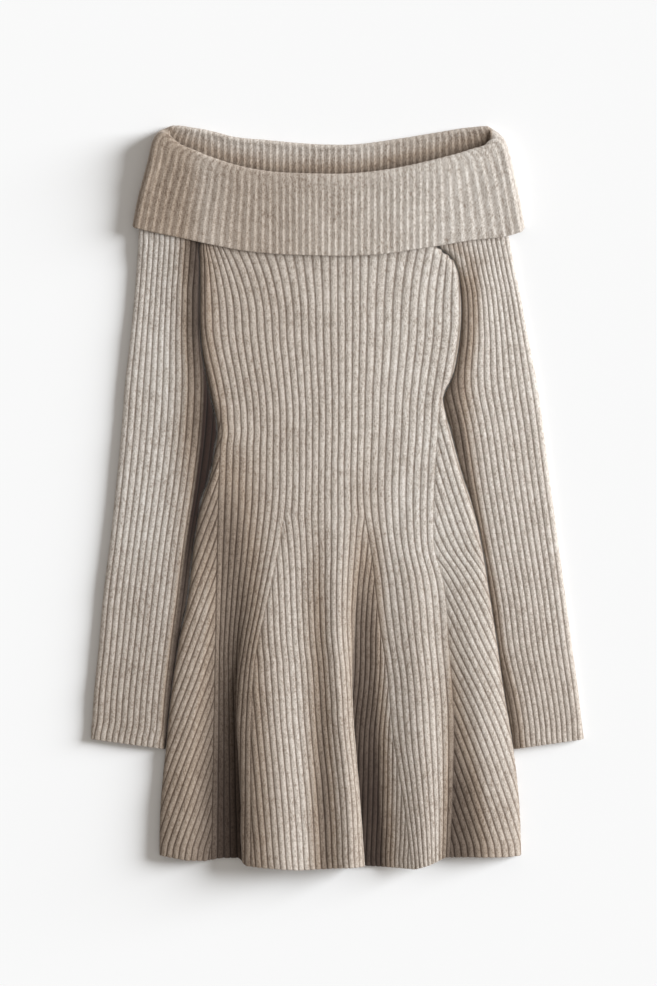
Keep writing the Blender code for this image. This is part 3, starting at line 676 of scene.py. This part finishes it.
def frontRows():
    # Y of each row, from the neckline to the hem
    bodice = np.linspace(neckline, body["skirtTop"] + 0.01, body["bodiceRows"])
    return np.concatenate([bodice, np.linspace(body["skirtTop"], body["skirtEnd"], body["skirtRows"])])


def toHem(x, y):
    share = np.clip((body["skirtTop"] - y) / (body["skirtTop"] - body["skirtEnd"]), 0.0, 1.0)
    return y + share ** 2 * (read(body["hem"], x) - body["skirtEnd"])


def softened(points, y):
    return soften(points, body, body["creases"], lift(y) + 2.5, 3.0)


def makeFront(material):
    wall = Wall()
    outer = []
    plain = []
    widths = []
    rows = frontRows()
    half = knit["wall"] / 2
    first, last, over = body["ribbed"]
    reach, step, size, seed = body["sway"]
    chestLength = Section(frontControls(body["chest"]), 0.0, None).length[-1]
    for index, y in enumerate(rows):
        section = Section(frontControls(y), lift(y), frontShades(y))
        widths.append(section.length[-1])
        zones = frontZones(section, y, chestLength)
        atHem = index == len(rows) - 1
        for down, share in rimRows(atHem):
            shared = {}
            vertices = []
            for name, (keys, lengths, cuts) in zones.items():
                middle, normal = section.at(lengths)
                rise = ribHeight(keys, *cuts) + worn(keys, y, body)
                place = section.placeAt(lengths)
                fade = smoothStep((place - first) / over) * smoothStep((last - place) / over)
                side = reach * drift(np.round(keys - 0.5) * step, np.full(len(keys), y), size, seed) * fade
                points = middle + normal * ((half + rise * fade) * share)[:, None]
                out = down + (knit["scallop"] * rise if atHem else 0.0)
                points = np.stack([points[:, 0] + side, toHem(points[:, 0], y) - out, points[:, 1]], axis=1)
                points = softened(points, y)
                # painted shade of the folds, times the painted light across the front
                shade = section.shadeAt(lengths) * frontLight(points[:, 0], y)
                if vertices:
                    row = np.concatenate([[vertices[-1]], wall.row(points[1:], shade[1:])])
                else:
                    row = wall.row(points, shade)
                shared[name] = (row, keys, keys, stitches(y, down))
                vertices = list(vertices) + list(row[1:] if vertices else row)
            outer.append((vertices, shared))
        if index % knit["plainEvery"] == 0 or atHem:
            middle, normal = section.at(np.linspace(0.0, section.length[-1], body["plainPoints"]))
            points = middle - normal * half
            out = knit["plainOut"] if atHem else 0.0
            points = np.stack([points[:, 0], toHem(points[:, 0], y) - out, points[:, 1]], axis=1)
            keys = np.arange(len(points)) * section.length[-1] / knit["pitch"] / len(points)
            plain.append((wall.row(softened(points, y)), np.arange(len(points)), keys, stitches(y)))
    for (_, above), (_, below) in zip(outer, outer[1:]):
        if "side" in above and "side" not in below:
            row, keys, u, v = above["side"]
            split = int(np.argmin(np.abs(keys - body["bandRibs"]))) + 1
            above["right band"] = (row[:split], keys[:split], u[:split], v)
            above["right"] = (row[split - 1:], keys[split - 1:], u[split - 1:], v)
        for name in below:
            if name in above:
                wall.join(above[name], below[name])
    wall.strips(plain, turned=True)
    wall.border(plain[0][0], outer[0][0])
    wall.border(outer[-1][0], plain[-1][0])
    for side in (0, -1):
        wall.border([row[side] for row, _ in outer], [row[0][side] for row in plain])
    return wall.build("frontPanel", material), *cutSize(widths, rows)


def makeBack(material):
    # a panel between the side seams, whose outside lies flat on the floor
    wall = Wall()
    faces = {"top": [], "bottom": []}
    rows = np.append(frontRows()[:-1:body["backEvery"]], frontRows()[-1])
    inset = turnedUnder + knit["seam"] + body["backInset"]
    across = np.linspace(0.0, 1.0, body["backPoints"])
    widths = []
    for y in rows:
        left = column(body["outline"], 1, y) + inset
        right = column(body["outline"], 2, y) - inset
        widths.append(right - left)
        x = left + across * (right - left)
        for name, height in (("top", knit["wall"]), ("bottom", 0.0)):
            z = np.full_like(x, height + lift(y))
            points = np.stack([x, toHem(x, y), z], axis=1)
            faces[name].append((wall.row(points), across, x / knit["pitch"], stitches(y)))
    wall.strips(faces["top"])
    wall.strips(faces["bottom"], turned=True)
    for end in (0, -1):
        wall.border(faces["top"][end][0], faces["bottom"][end][0])
        wall.border([row[0][end] for row in faces["top"]], [row[0][end] for row in faces["bottom"]])
    return wall.build("backPanel", material), *cutSize(widths, rows)


# Sleeves
sleeve = {
    "outline": [  # Y, X of left outer, left inner, right inner and right outer edge
        (316, -217.5, -136.5, 90.0, 188.7), (299, -220.4, -145.0, 98.0, 190.2),
        (280, -221.3, -153.2, 111.0, 193.0), (264, -222.5, -153.0, 129.5, 196.3),
        (253, -223.3, -152.9, 134.3, 198.4), (231, -225.0, -152.7, 137.6, 203.0),
        (184, -229.6, -152.1, 137.6, 211.9), (124, -236.4, -148.2, 131.0, 223.5),
        (78, -240.0, -150.0, 140.5, 229.8), (21, -245.3, -156.5, 149.5, 237.0),
        (-48, -252.8, -167.3, 162.0, 246.2), (-114, -260.9, -175.5, 174.8, 255.1),
        (-170, -265.5, -183.0, 182.0, 262.1), (-225, -270.6, -189.3, 195.0, 268.8),
        (-278, -273.6, -193.0, 203.5, 274.2)],
    "height": 6.0,
    "crown": 0.6,
    "ribs": 13,
    "clearance": -0.65,          # to the body's outline, as both sides are rounded
    "cuffRise": (11.5, 160.0),  # the cuff's outer corner is this much higher up, over this length
    "cuffLean": {"sleeveLeft": (-0.4, 24.0), "sleeveRight": (0.2, 24.0)},  # ribs, over this length
    "slope": [  # Y, how far the inner edge falls away
        (-278, 0.35), (-170, 0.55), (-60, 0.9), (30, 1.0), (90, 0.8), (130, 0.25), (190, 0.0), (316, 0.0)],
    "rows": 120,
    "steps": 14,
    "edgeControl": 3.0,  # the control point at the outer edge
    "wayOver": 4.0,      # how much longer the way over the top is than its width
    "ribbed": (1.5, 2.5, 8.8, 0.6),  # height at which the ribs start and its fade, last place and its fade
    "plainPoints": 61,
    "loose": (0.3, 60.0, 7),
    "wear": (26.0, 13),
    "shadeAt": [-1.0, 1.5, 8, 16, 24, 40],  # from the inner edge of the sleeve's top
    "shades": {  # Y, painted shade at those distances: mostly dark near the inner edge, in the gap and where the body's edge shades the sleeve
        "sleeveLeft": [
            (316, (0.05, 0.08, 0.15, 0.5, 0.8, 1.0)), (264, (0.05, 0.08, 0.15, 0.5, 0.8, 1.0)),
            (190, (0.03, 0.06, 0.15, 0.45, 0.8, 1.0)), (110, (0.0, 0.3, 0.35, 0.5, 0.75, 1.0)),
            (75, (0.0, 0.3, 0.36, 0.46, 0.68, 0.98)), (20, (0.0, 0.4, 0.6, 0.7, 0.85, 1.0)),
            (-19, (0.0, 0.6, 0.7, 0.8, 0.9, 1.0)), (-125, (0.1, 0.45, 0.75, 0.85, 0.85, 0.82)),
            (-225, (0.1, 0.4, 0.75, 0.76, 0.74, 0.72)), (-280, (0.1, 0.6, 0.75, 0.76, 0.74, 0.72))],
        "sleeveRight": [
            (316, (0.9, 0.9, 0.95, 0.6, 0.75, 1.0)), (264, (0.9, 0.9, 0.95, 0.6, 0.72, 0.95)),
            (240, (0.45, 0.45, 0.45, 0.5, 0.9, 1.0)), (190, (0.3, 0.34, 0.36, 0.55, 0.95, 1.0)),
            (120, (0.25, 0.32, 0.4, 0.65, 0.92, 1.0)),
            (75, (0.25, 0.5, 0.72, 0.88, 0.95, 0.96)), (-19, (0.25, 0.5, 0.88, 0.95, 0.95, 0.95)),
            (-125, (0.3, 0.55, 0.85, 0.88, 0.88, 0.88)), (-225, (0.3, 0.4, 0.7, 0.8, 0.8, 0.8)),
            (-280, (0.35, 0.5, 0.75, 0.8, 0.8, 0.8))]},
    "creases": {
        "sleeveLeft": [
            (-222, 236, -170, 196, 9, -0.8), (-232, 120, -176, 92, 10, -0.7), (-180, 60, -232, 34, 9, 0.5),
            (-246, -60, -190, -92, 11, -0.6), (-258, -170, -206, -196, 9, 0.5)],
        "sleeveRight": [
            (196, 214, 150, 190, 9, -0.8), (150, 96, 206, 70, 10, -0.7), (222, 20, 176, -14, 9, 0.5),
            (184, -90, 240, -120, 11, -0.6), (250, -180, 206, -212, 9, 0.5)]},
}


def sleeveSection(inner, outer, rise, slope):
    # a flattened tube from the middle of its floor side, out, over the top and back, in X and Z
    side = 1.0 if outer > inner else -1.0
    top = sleeve["height"]
    width = abs(outer - inner)
    edge = knit["wall"] / 2 + knit["play"]
    crown = sleeve["crown"]
    half = (floorMiddle + top) / 2
    controls = [
        (width / 2, floorMiddle), (width - 8.0, floorMiddle), (width - 4.0, floorMiddle),
        (width - edge, half), (width - 5.0, top), (width * 0.75, top + crown * 0.8), (width / 2, top + crown),
        (width * 0.25 + 5.0 * slope, top + crown * (0.8 - 0.9 * slope)),
        (5.0 + 5.0 * slope, top - 1.7 * slope), (edge, half - 1.0 * slope),
        (4.0, floorMiddle), (8.0, floorMiddle), (width / 2, floorMiddle)]
    points = spline(controls, sleeve["steps"])
    points[:, 1] = np.maximum(points[:, 1], floorMiddle) + rise
    points[:, 0] = inner + side * points[:, 0]
    normal = tangents(points) @ [[0.0, -side], [side, 0.0]]
    normal[-1] = normal[0]
    return points, normal, runLength(points)


def closed(row):
    return np.append(row, row[0])


def sleeveShade(name, y, inward):
    table = sleeve["shades"][name]
    values = [read([(at, row[i]) for at, row in table], y) for i in range(len(sleeve["shadeAt"]))]
    return np.interp(inward, sleeve["shadeAt"], values)


def makeSleeve(name, outerColumn, innerColumn, bodyColumn, material):
    wall = Wall()
    outerRows = []
    plainRows = []
    widths = []
    cuffEnd = sleeve["outline"][-1][0]
    levels = np.linspace(neckline - knit["seam"], cuffEnd, sleeve["rows"])
    half = knit["wall"] / 2
    startHeight, overHeight, lastPlace, overPlace = sleeve["ribbed"]
    rise, over = sleeve["cuffRise"]
    lean, leanOver = sleeve["cuffLean"][name]
    for index, y in enumerate(levels):
        outer = column(sleeve["outline"], outerColumn, y)
        side = 1.0 if outer > 0 else -1.0
        bodyEdge = column(body["outline"], bodyColumn, y)
        topEdge = column(sleeve["outline"], innerColumn, y)
        fullWidth = abs(outer - topEdge)
        inner = bodyEdge + side * sleeve["clearance"]
        points, normal, length = sleeveSection(inner, outer, lift(y), column(sleeve["slope"], 1, y))
        total = length[-1]
        widths.append(total)
        controls = np.arange(len(points)) / sleeve["steps"]
        edgeOut = np.interp(sleeve["edgeControl"], controls, length)
        if y > body["chest"] or not index:
            atChest = [column(sleeve["outline"], each, body["chest"]) for each in (outerColumn, innerColumn)]
            fullWidth = abs(atChest[0] - atChest[1])
        pitch = (fullWidth + sleeve["wayOver"]) / sleeve["ribs"]
        progress = smoothStep((cuffEnd + over - y) / over)
        shift = edgeOut / pitch + lean * smoothStep((cuffEnd + leanOver - y) / leanOver)
        keys = ribKeys(-shift, total / pitch - shift)
        atCuff = index == len(levels) - 1

        def ring(at, offset, out):
            away = readPoints(at, length, normal) * np.asarray(offset)[:, None]
            place = readPoints(at, length, points) + away
            share = (place[:, 0] - inner) / (outer - inner)
            spot = np.stack([place[:, 0], y + rise * share * progress - out, place[:, 1]], axis=1)
            return soften(spot, sleeve, sleeve["creases"][name], lift(y) + 3.0, 3.0)

        at = (keys + shift) * pitch
        height = np.interp(at, length, points[:, 1])
        place = np.interp(at, length, controls)
        fade = smoothStep((height - lift(y) - startHeight) / overHeight)
        fade = fade * smoothStep((lastPlace - place) / overPlace)
        bump = ribHeight(keys) + worn(keys, y, sleeve)
        for out, share in rimRows(atCuff):
            scallop = knit["scallop"] * bump * fade if atCuff else 0.0
            spots = ring(at, (half + bump * fade) * share, out + scallop)[:-1]
            row = wall.row(spots, sleeveShade(name, y, side * (spots[:, 0] - topEdge)))
            outerRows.append((closed(row), keys, keys, stitches(y, out)))
        if index % knit["plainEvery"] == 0 or atCuff:
            at = np.linspace(0.0, total, sleeve["plainPoints"])
            row = wall.row(ring(at, np.full(len(at), -half), knit["plainOut"] if atCuff else 0.0)[:-1])
            plainRows.append((closed(row), at / total, at / pitch, stitches(y)))
    wall.strips(outerRows)
    wall.strips(plainRows, turned=True)
    for end in (0, -1):
        wall.border(outerRows[end][0], plainRows[end][0])
    return wall.build(name, material), *cutSize(widths, levels)


# Collar
collar = {
    "rimFront": [(-199, 406), (-189, 405), (-184, 399), (-175, 392), (-161, 386), (-141, 378), (-121, 371),
                 (-80, 362), (-30, 359), (14, 359), (70, 366), (110, 375), (149, 386), (167, 393), (175, 402),
                 (184, 403)],
    "rimBack": [(-199, 406.5), (-191, 410.5), (-156, 410), (-136, 406), (-117, 401), (-80, 397), (-8, 391.7),
                (14, 391.7), (70, 398.5), (110, 405), (149, 411), (168, 412), (184, 408)],
    "flapEdge": [(-228, 301), (-213, 297), (-175, 289), (-136, 280.5), (-107, 275), (-70, 271), (-30, 269.3),
                 (25, 269), (64, 272.3), (89, 276.3), (110, 279.5), (149, 286), (194, 292), (208, 297)],
    "flapLeft": [(407, -199), (397, -203.6), (369, -210.9), (336, -219.8), (312, -225.3), (297, -227.8)],
    "flapRight": [(409, 178), (395, 184.9), (375, 192.0), (355, 196.5), (330, 202.0), (297, 208.2)],
    "leftOf": [-217.5, -206.0, -192.0, -187.5, -188.0, -196.5],
    "rightOf": [188.7, 182.0, 175.0, 172.0, 172.5, 177.5],
    "frontHeight": [9.0, 10.4, 12.6, 14.0, 16.6, 19.0, 19.4, 17.0, 14.2, 12.9],
    "backHeight": [3.5, 3.7, 5.6, 7.4, 4.5, 1.7, 1.0, 1.0, 1.0, 1.0],
    "downFlap": {6: 0.09, 7: 0.35, 8: 0.7, 9: 1.0},
    "inside": {"Front": [9.0, 2.4, 1.2, 2.8], "Back": [10.0, 3.2, 1.2, 3.2]},  # below the rim, levels 2 to 5
    "flapBackEdge": 305.0,
    "flapEnds": [(-199.0, -28.0), (178.0, 30.0)],  # X at the rim, how much further out at the flap's edge
    "roll": 5.0,
    "straightInset": 6.5,  # the straight ribs' ends, from the inside at the rim
    "flapReach": (0.35, 0.2),  # share of the width at either end where ribs go out with it
    "insideReach": (0.15, 0.15),
    # X, painted shade: darker towards the left end, away from the light
    "shades": [
        (-230, 0.46), (-168, 0.51), (-146, 0.7), (-108, 0.62), (-52, 0.68), (-8, 0.78), (37, 0.86),
        (92, 1.0)],
    "insideShade": [(-2, 0.3), (4, 0.42), (12, 0.6), (22, 0.9)],  # distance over the front's rim, painted shade: darkest just behind the front rim
    "ribs": 50,
    "sideRibs": 2,
    "steps": 10,
    "loose": (0.4, 55.0, 19),
    "wear": (22.0, 17),
    "softenFrom": (9.0, 4.0),
    "plainEvery": (4, 3),  # rows and points of the ribbed side for one of the plain side
    "creases": [  # X, Y of both ends, half width, rise
        (66, 310, 156, 366, 6, 1.1),
        (84, 302, 170, 352, 5, -0.9),
        (112, 352, 168, 380, 4, 1.0),
        (-213, 348, -196, 372, 4, 1.3),
        (-207, 340, -188, 362, 4, -1.1),
        (-150, 300, -120, 352, 9, 0.7),
        (-60, 292, 20, 298, 10, 0.8),
        (-20, 330, 60, 336, 10, -0.7),
        (150, 300, 190, 322, 7, -0.8)],
}


def collarLevel(ribs, level):
    # one ring of the collar's middle at one of its levels: neckline, up inside, rim, down the flap
    def edge(side, end, x):
        rim = column(collar["rim" + side], 1, x)
        seam = neckline + knit["seam"]
        if level in collar["downFlap"]:
            return rim + collar["downFlap"][level] * (end - rim)
        if level == 0:
            return np.full_like(rim, seam)
        if level == 1:
            return (seam + rim) / 2
        return rim - collar["inside"][side][level - 2]

    def frontY(x):
        return edge("Front", column(collar["flapEdge"], 1, x), x)

    if level in collar["downFlap"]:
        down = collar["downFlap"][level]
        ends = [frontY(rimX + further * down) for rimX, further in collar["flapEnds"]]
        left = column(collar["flapLeft"], 1, ends[0])
        right = column(collar["flapRight"], 1, ends[1])
    else:
        left = collar["leftOf"][level]
        right = collar["rightOf"][level]
    top = collar["frontHeight"][level]
    low = collar["backHeight"][level]
    roll = min((top - low) / 2, collar["roll"])
    left += knit["wall"] / 2 + knit["play"]
    right -= knit["wall"] / 2 + knit["play"]
    count = collar["ribs"]
    half = count + collar["sideRibs"]
    turnRight = np.clip((ribs - count) / collar["sideRibs"], 0.0, 1.0)
    turnLeft = np.clip((ribs - half - count) / collar["sideRibs"], 0.0, 1.0)
    share = np.where(ribs <= half, np.minimum(ribs / count, 1.0),
                     np.clip(1.0 - (ribs - half) / count, 0.0, 1.0))
    front = np.where(ribs < half, 0.5 + 0.5 * np.cos(np.pi * turnRight), 0.5 - 0.5 * np.cos(np.pi * turnLeft))
    # the ribs stand straight, and only those near an end go out with it
    reach = collar["flapReach"] if level in collar["downFlap"] else collar["insideReach"]
    edges = (collar["leftOf"][5] + collar["straightInset"], collar["rightOf"][5] - collar["straightInset"])
    x = edges[0] + share * (edges[1] - edges[0])
    x = x + (1.0 - smoothStep(share / reach[0])) * (left + roll - edges[0])
    x = x + (1.0 - smoothStep((1.0 - share) / reach[1])) * (right - roll - edges[1])
    y = front * frontY(x) + (1 - front) * edge("Back", collar["flapBackEdge"], x)
    x = x + roll * (np.sin(np.pi * turnRight) - np.sin(np.pi * turnLeft))
    return np.stack([x, y, low + front * (top - low)], axis=1)


def makeCollar(material):
    # a ring of two layers: it rises inside from the neckline to the rim and turns down outside as a flap
    wall = Wall()
    around = 2 * (collar["ribs"] + collar["sideRibs"])
    ribs = ribKeys(0.0, around)[:-1]
    levels = np.stack([collarLevel(ribs, level) for level in range(len(collar["frontHeight"]))])
    steps = collar["steps"]
    fine = np.stack([spline(levels[:, i], steps) for i in range(len(ribs))], axis=1)
    down = np.gradient(fine, axis=0)
    across = np.roll(fine, -3, axis=1) - np.roll(fine, 3, axis=1)
    normal = np.cross(down, across)
    normal /= np.linalg.norm(normal, axis=2)[:, :, None]
    outward = fine[-1] - fine[-3]
    outward /= np.linalg.norm(outward, axis=1)[:, None]
    backStart = collar["ribs"] + collar["sideRibs"]
    ribbed = []
    plain = []
    rowEvery, pointEvery = collar["plainEvery"]
    rows = [i for i in range(len(fine)) if i > 2 * steps or i % rowEvery == 0]
    length = runLength(fine[:, len(ribs) // 4])
    half = knit["wall"] / 2
    for index in rows:
        lying = smoothStep((index / steps - 5.0) / 1.0)
        flat = smoothStep(np.minimum(ribs - backStart + 1.0, around - collar["sideRibs"] - ribs + 1.0))
        flat = np.where(ribs > around - collar["sideRibs"], 1.0, flat) * lying
        rise = ribHeight(ribs + 0.5, reverse=True) + worn(ribs, length[index], collar)
        atRim = smoothStep((index / steps - 2.3) / 0.7) * smoothStep((6.8 - index / steps) / 0.8)
        rise = rise * (1.0 - flat) * (1.0 - 0.65 * atRim)
        last = index == rows[-1]
        for out, share in rimRows(last):
            points = fine[index] + normal[index] * ((half + rise) * share)[:, None] + outward * out
            points = soften(points, collar, collar["creases"], *collar["softenFrom"], lying)
            points[:, 2] = np.maximum(points[:, 2], 0.0)
            if index == 0:
                points[:, 1] = neckline + knit["seam"]
            keys = np.append(ribs, around)
            # painted shade: darker towards the left, and inside the opening darker behind the front rim and
            # to the right
            shade = read(collar["shades"], points[:, 0])
            within = read(collar["insideShade"], points[:, 1] - column(collar["rimFront"], 1, points[:, 0]))
            within = within * (1.0 - 0.15 * smoothStep((points[:, 0] - 20.0) / 60.0))
            shade = shade + (within - shade) * (1.0 - smoothStep(index / steps - 3.8))
            ribbed.append((closed(wall.row(points, shade)), keys, keys + 0.5, length[index] / knit["stitch"]))
        if index % rowEvery == 0 or last:
            keep = (np.arange(len(ribs)) % pointEvery) == 0
            points = (fine[index] - normal[index] * half)[keep]
            points = soften(points, collar, collar["creases"], *collar["softenFrom"], lying)
            if index == 0:
                points[:, 1] = neckline + knit["seam"]
            keys = np.append(ribs[keep], around)
            plain.append((closed(wall.row(points)), keys, keys, length[index] / knit["stitch"]))
    wall.strips(ribbed)
    wall.strips(plain, turned=True)
    for end in (0, -1):
        wall.join(ribbed[end], plain[end])
    piece = wall.build("collar_", material)
    ring = [runLength(np.vstack([row, row[:1]]))[-1] for row in fine]
    tall = length[-1]
    return piece, (max(ring) * mm, tall * mm), np.mean(ring) * tall * mm * mm


# Loose fibres that stand out of the wool
fuzz = {
    "length": 2.6,
    "width": 0.07,
    "bend": 0.5,
    "perArea": {"frontPanel": 130000.0, "sleeveLeft": 110000.0, "sleeveRight": 110000.0, "collar_": 110000.0},
    "seed": 23,
    "tilt": 1.25,          # how far a fibre may lie over, in radians
    "shortest": 0.35,
    "lowest": 4.4,
    "tone": (0.70, 0.63, 0.56, 1.0),
    "shadedTone": (0.03, 0.022, 0.018, 1.0),
}


def makeFibre():
    # one bent hair as a narrow strip along Z
    length = fuzz["length"] * mm
    half = fuzz["width"] * mm / 2
    points = [(-half, 0, 0), (half, 0, 0), (-half, fuzz["bend"] * 0.3 * mm, length * 0.55),
              (half, fuzz["bend"] * 0.3 * mm, length * 0.55), (0, fuzz["bend"] * mm, length)]
    mesh = bpy.data.meshes.new("fibre")
    mesh.from_pydata(points, [], [(0, 1, 3, 2), (2, 3, 4)])
    return bpy.data.objects.new("fibre", mesh)


def fibreTree(fibre):
    tree = bpy.data.node_groups.new("fuzz", "GeometryNodeTree")
    sockets = {}
    kinds = {"Geometry": "Geometry", "Per area": "Float", "Seed": "Int", "Tilt": "Float",
             "Shortest": "Float", "Lowest": "Float", "Material": "Material"}
    for label, kind in kinds.items():
        made = tree.interface.new_socket(name=label, in_out="INPUT", socket_type="NodeSocket" + kind)
        sockets[label] = made.identifier
    tree.interface.new_socket(name="Geometry", in_out="OUTPUT", socket_type="NodeSocketGeometry")

    def add(kind, links=None, **values):
        node = tree.nodes.new(kind)
        for key, value in values.items():
            setattr(node, key, value)
        for key, socket in (links or {}).items():
            tree.links.new(socket, node.inputs[key])
        return node

    given = add("NodeGroupInput").outputs
    # only on the side that looks up, above the floor
    spot = add("ShaderNodeSeparateXYZ", {"Vector": add("GeometryNodeInputPosition").outputs[0]})
    facing = add("ShaderNodeSeparateXYZ", {"Vector": add("GeometryNodeInputNormal").outputs[0]})
    high = add("ShaderNodeMath", {0: spot.outputs["Z"], 1: given["Lowest"]}, operation="GREATER_THAN")
    up = add("ShaderNodeMath", {0: facing.outputs["Z"]}, operation="GREATER_THAN")
    up.inputs[1].default_value = 0.0
    both = add("ShaderNodeMath", {0: high.outputs[0], 1: up.outputs[0]}, operation="MULTIPLY")
    points = add("GeometryNodeDistributePointsOnFaces", {
        "Mesh": given["Geometry"], "Density": given["Per area"], "Seed": given["Seed"],
        "Selection": both.outputs[0]})
    lean = add("FunctionNodeRandomValue", {"Seed": given["Seed"], 3: given["Tilt"]}, data_type="FLOAT")
    turn = add("FunctionNodeRandomValue", {"Seed": given["Seed"]}, data_type="FLOAT")
    turn.inputs[3].default_value = fullTurn
    size = add("FunctionNodeRandomValue", {"Seed": given["Seed"], 2: given["Shortest"]}, data_type="FLOAT")
    spin = add("ShaderNodeCombineXYZ", {"X": lean.outputs[1], "Z": turn.outputs[1]})
    turned = add("FunctionNodeRotateEuler", {
        "Rotation": points.outputs["Rotation"], "Rotate By": spin.outputs[0]}, space="LOCAL")
    shape = add("GeometryNodeObjectInfo")
    shape.inputs["Object"].default_value = fibre
    hairs = add("GeometryNodeInstanceOnPoints", {
        "Points": points.outputs["Points"], "Instance": shape.outputs["Geometry"],
        "Rotation": turned.outputs[0], "Scale": size.outputs[1]})
    real = add("GeometryNodeRealizeInstances", {"Geometry": hairs.outputs[0]})
    done = add("GeometryNodeSetMaterial", {"Geometry": real.outputs[0], "Material": given["Material"]})
    add("NodeGroupOutput", {"Geometry": done.outputs[0]})
    return tree, sockets


def makeFuzz(pieces):
    fibre = makeFibre()
    bpy.context.scene.collection.objects.link(fibre)
    tree, sockets = fibreTree(fibre)
    s = Shading("looseFibres")
    shade = s.node("ShaderNodeAttribute", {"attribute_name": "shade"}, {}, 2)
    # the fibres take the cloth's painted shade
    tone = s.mix(shade.ramp(0.15, 0.9), fuzz["shadedTone"], fuzz["tone"])
    material = s.finish({"Base Color": tone, "Roughness": 0.9, "Specular IOR Level": 0.1})
    made = {}
    for order, piece in enumerate(pieces):
        modifier = piece.modifiers.new("fuzz", "NODES")
        modifier.node_group = tree
        for label, value in [("Per area", fuzz["perArea"][piece.name]), ("Seed", fuzz["seed"] + order),
                             ("Tilt", fuzz["tilt"]), ("Shortest", fuzz["shortest"]),
                             ("Lowest", fuzz["lowest"] * mm), ("Material", material)]:
            modifier[sockets[label]] = value
        evaluated = piece.evaluated_get(bpy.context.evaluated_depsgraph_get())
        mesh = bpy.data.meshes.new_from_object(evaluated)
        piece.modifiers.remove(modifier)
        hairs = bpy.data.objects.new(piece.name.strip("_") + "Fuzz", mesh)
        bpy.context.scene.collection.objects.link(hairs)
        made[piece.name] = hairs
        print(hairs.name, len(mesh.polygons), "faces")
    bpy.data.objects.remove(fibre)
    return made


# The pieces' copies of the knit differ in tone partly as painted light: the right sleeve's is lighter than
# the left's, as the light comes from the right, and the front's and the collar's are raised against the
# painted shade they carry.
print("knitting the front")
front = makeFront(knitMaterial("ribKnitFront", 1.2))
print("knitting the back")
back = makeBack(knitMaterial("ribKnitBack", 0.95))
print("knitting the sleeves")
leftSleeve = makeSleeve("sleeveLeft", 1, 2, 1, knitMaterial("ribKnitSleeveLeft", 1.04))
rightSleeve = makeSleeve("sleeveRight", 4, 3, 2, knitMaterial("ribKnitSleeveRight", 1.27, 0.5))
print("knitting the collar")
turnedCollar = makeCollar(knitMaterial("ribKnitReverse", 1.18, 0.35, True))

print("raising the fuzz")
fuzzPieces = makeFuzz([made[0] for made in (front, leftSleeve, rightSleeve, turnedCollar)])

for node, (piece, flat, area), under in [
    ("front", front, ["backPanel", "floor"]),
    ("back", back, ["floor"]),
    ("sleeve_left", leftSleeve, ["floor"]),
    ("sleeve_right", rightSleeve, ["floor"]),
    ("collar", turnedCollar, ["frontPanel", "sleeveLeft", "sleeveRight", "floor"]),
]:
    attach(piece, "root")
    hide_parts(node)
    hairs = fuzzPieces.get(piece.name)
    if hairs:
        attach(hairs, "root")
    min(area, flat[0] * flat[1])
    print(piece.name, len(piece.data.polygons), "faces, flat", [round(x, 3) for x in flat], round(area, 3))

# Floor, light and camera
studio = {
    "floor": 4.0,
    "floorTone": 0.93,
    "fill": 0.365,
    "key": 4.2,             # on the cloth
    "keyAngle": 1.0,
    "keyFrom": (0.836, 0.224, 0.50),
    "keyColour": (0.955, 0.98, 1.0),
    "fillColour": (1.0, 0.94, 0.87),
    "low": 7.53,            # on the floor, for the long soft shadow beside the cloth
    "lowAngle": 0.5,
    "lowFrom": (0.915, 0.24, 0.29),
    "lowColour": (0.932, 0.965, 1.0),
    "sensor": 36.0,
    "frame": 1.0945,        # height of the picture at the floor
    "distance": 5.0,
    "centre": (-0.0094, 0.005),
}


def makeLamp(name, lit):
    # a sun that lights only the given pieces
    light = bpy.data.lights.new(name, "SUN")
    light.energy = studio[name]
    light.color = studio[name + "Colour"]
    light.angle = studio[name + "Angle"]
    lamp = bpy.data.objects.new(name, light)
    x, y, z = studio[name + "From"]
    lamp.rotation_euler = (np.arctan2(np.hypot(x, y), z), 0.0, np.arctan2(x, -y))
    bpy.context.scene.collection.objects.link(lamp)
    receivers = bpy.data.collections.new(name + " lights")
    for each in lit:
        receivers.objects.link(each)
    lamp.light_linking.receiver_collection = receivers


def makeStudio(pieces):
    bpy.ops.mesh.primitive_plane_add(size=studio["floor"])
    ground = bpy.context.object
    ground.name = "floor"
    s = Shading("paper")
    tone = studio["floorTone"]
    ground.data.materials.append(s.finish({"Base Color": (tone, tone, tone, 1.0), "Roughness": 0.9,
                                           "Specular IOR Level": 0.1}))
    world = bpy.data.worlds.new("fill")
    world.use_nodes = True
    background = world.node_tree.nodes["Background"].inputs
    background["Color"].default_value = (*studio["fillColour"], 1.0)
    background["Strength"].default_value = studio["fill"]
    bpy.context.scene.world = world
    makeLamp("key", pieces)
    makeLamp("low", [ground])
    lens = bpy.data.cameras.new("camera")
    lens.sensor_fit = "VERTICAL"
    lens.sensor_height = studio["sensor"]
    lens.lens = studio["sensor"] * studio["distance"] / studio["frame"]
    camera = bpy.data.objects.new("camera", lens)
    camera.location = (*studio["centre"], studio["distance"])
    bpy.context.scene.collection.objects.link(camera)
    bpy.context.scene.camera = camera
    bpy.context.scene.view_settings.view_transform = "Standard"


dressed = [made[0] for made in (front, back, leftSleeve, rightSleeve, turnedCollar)]
makeStudio(dressed + list(fuzzPieces.values()))
print("scene done")
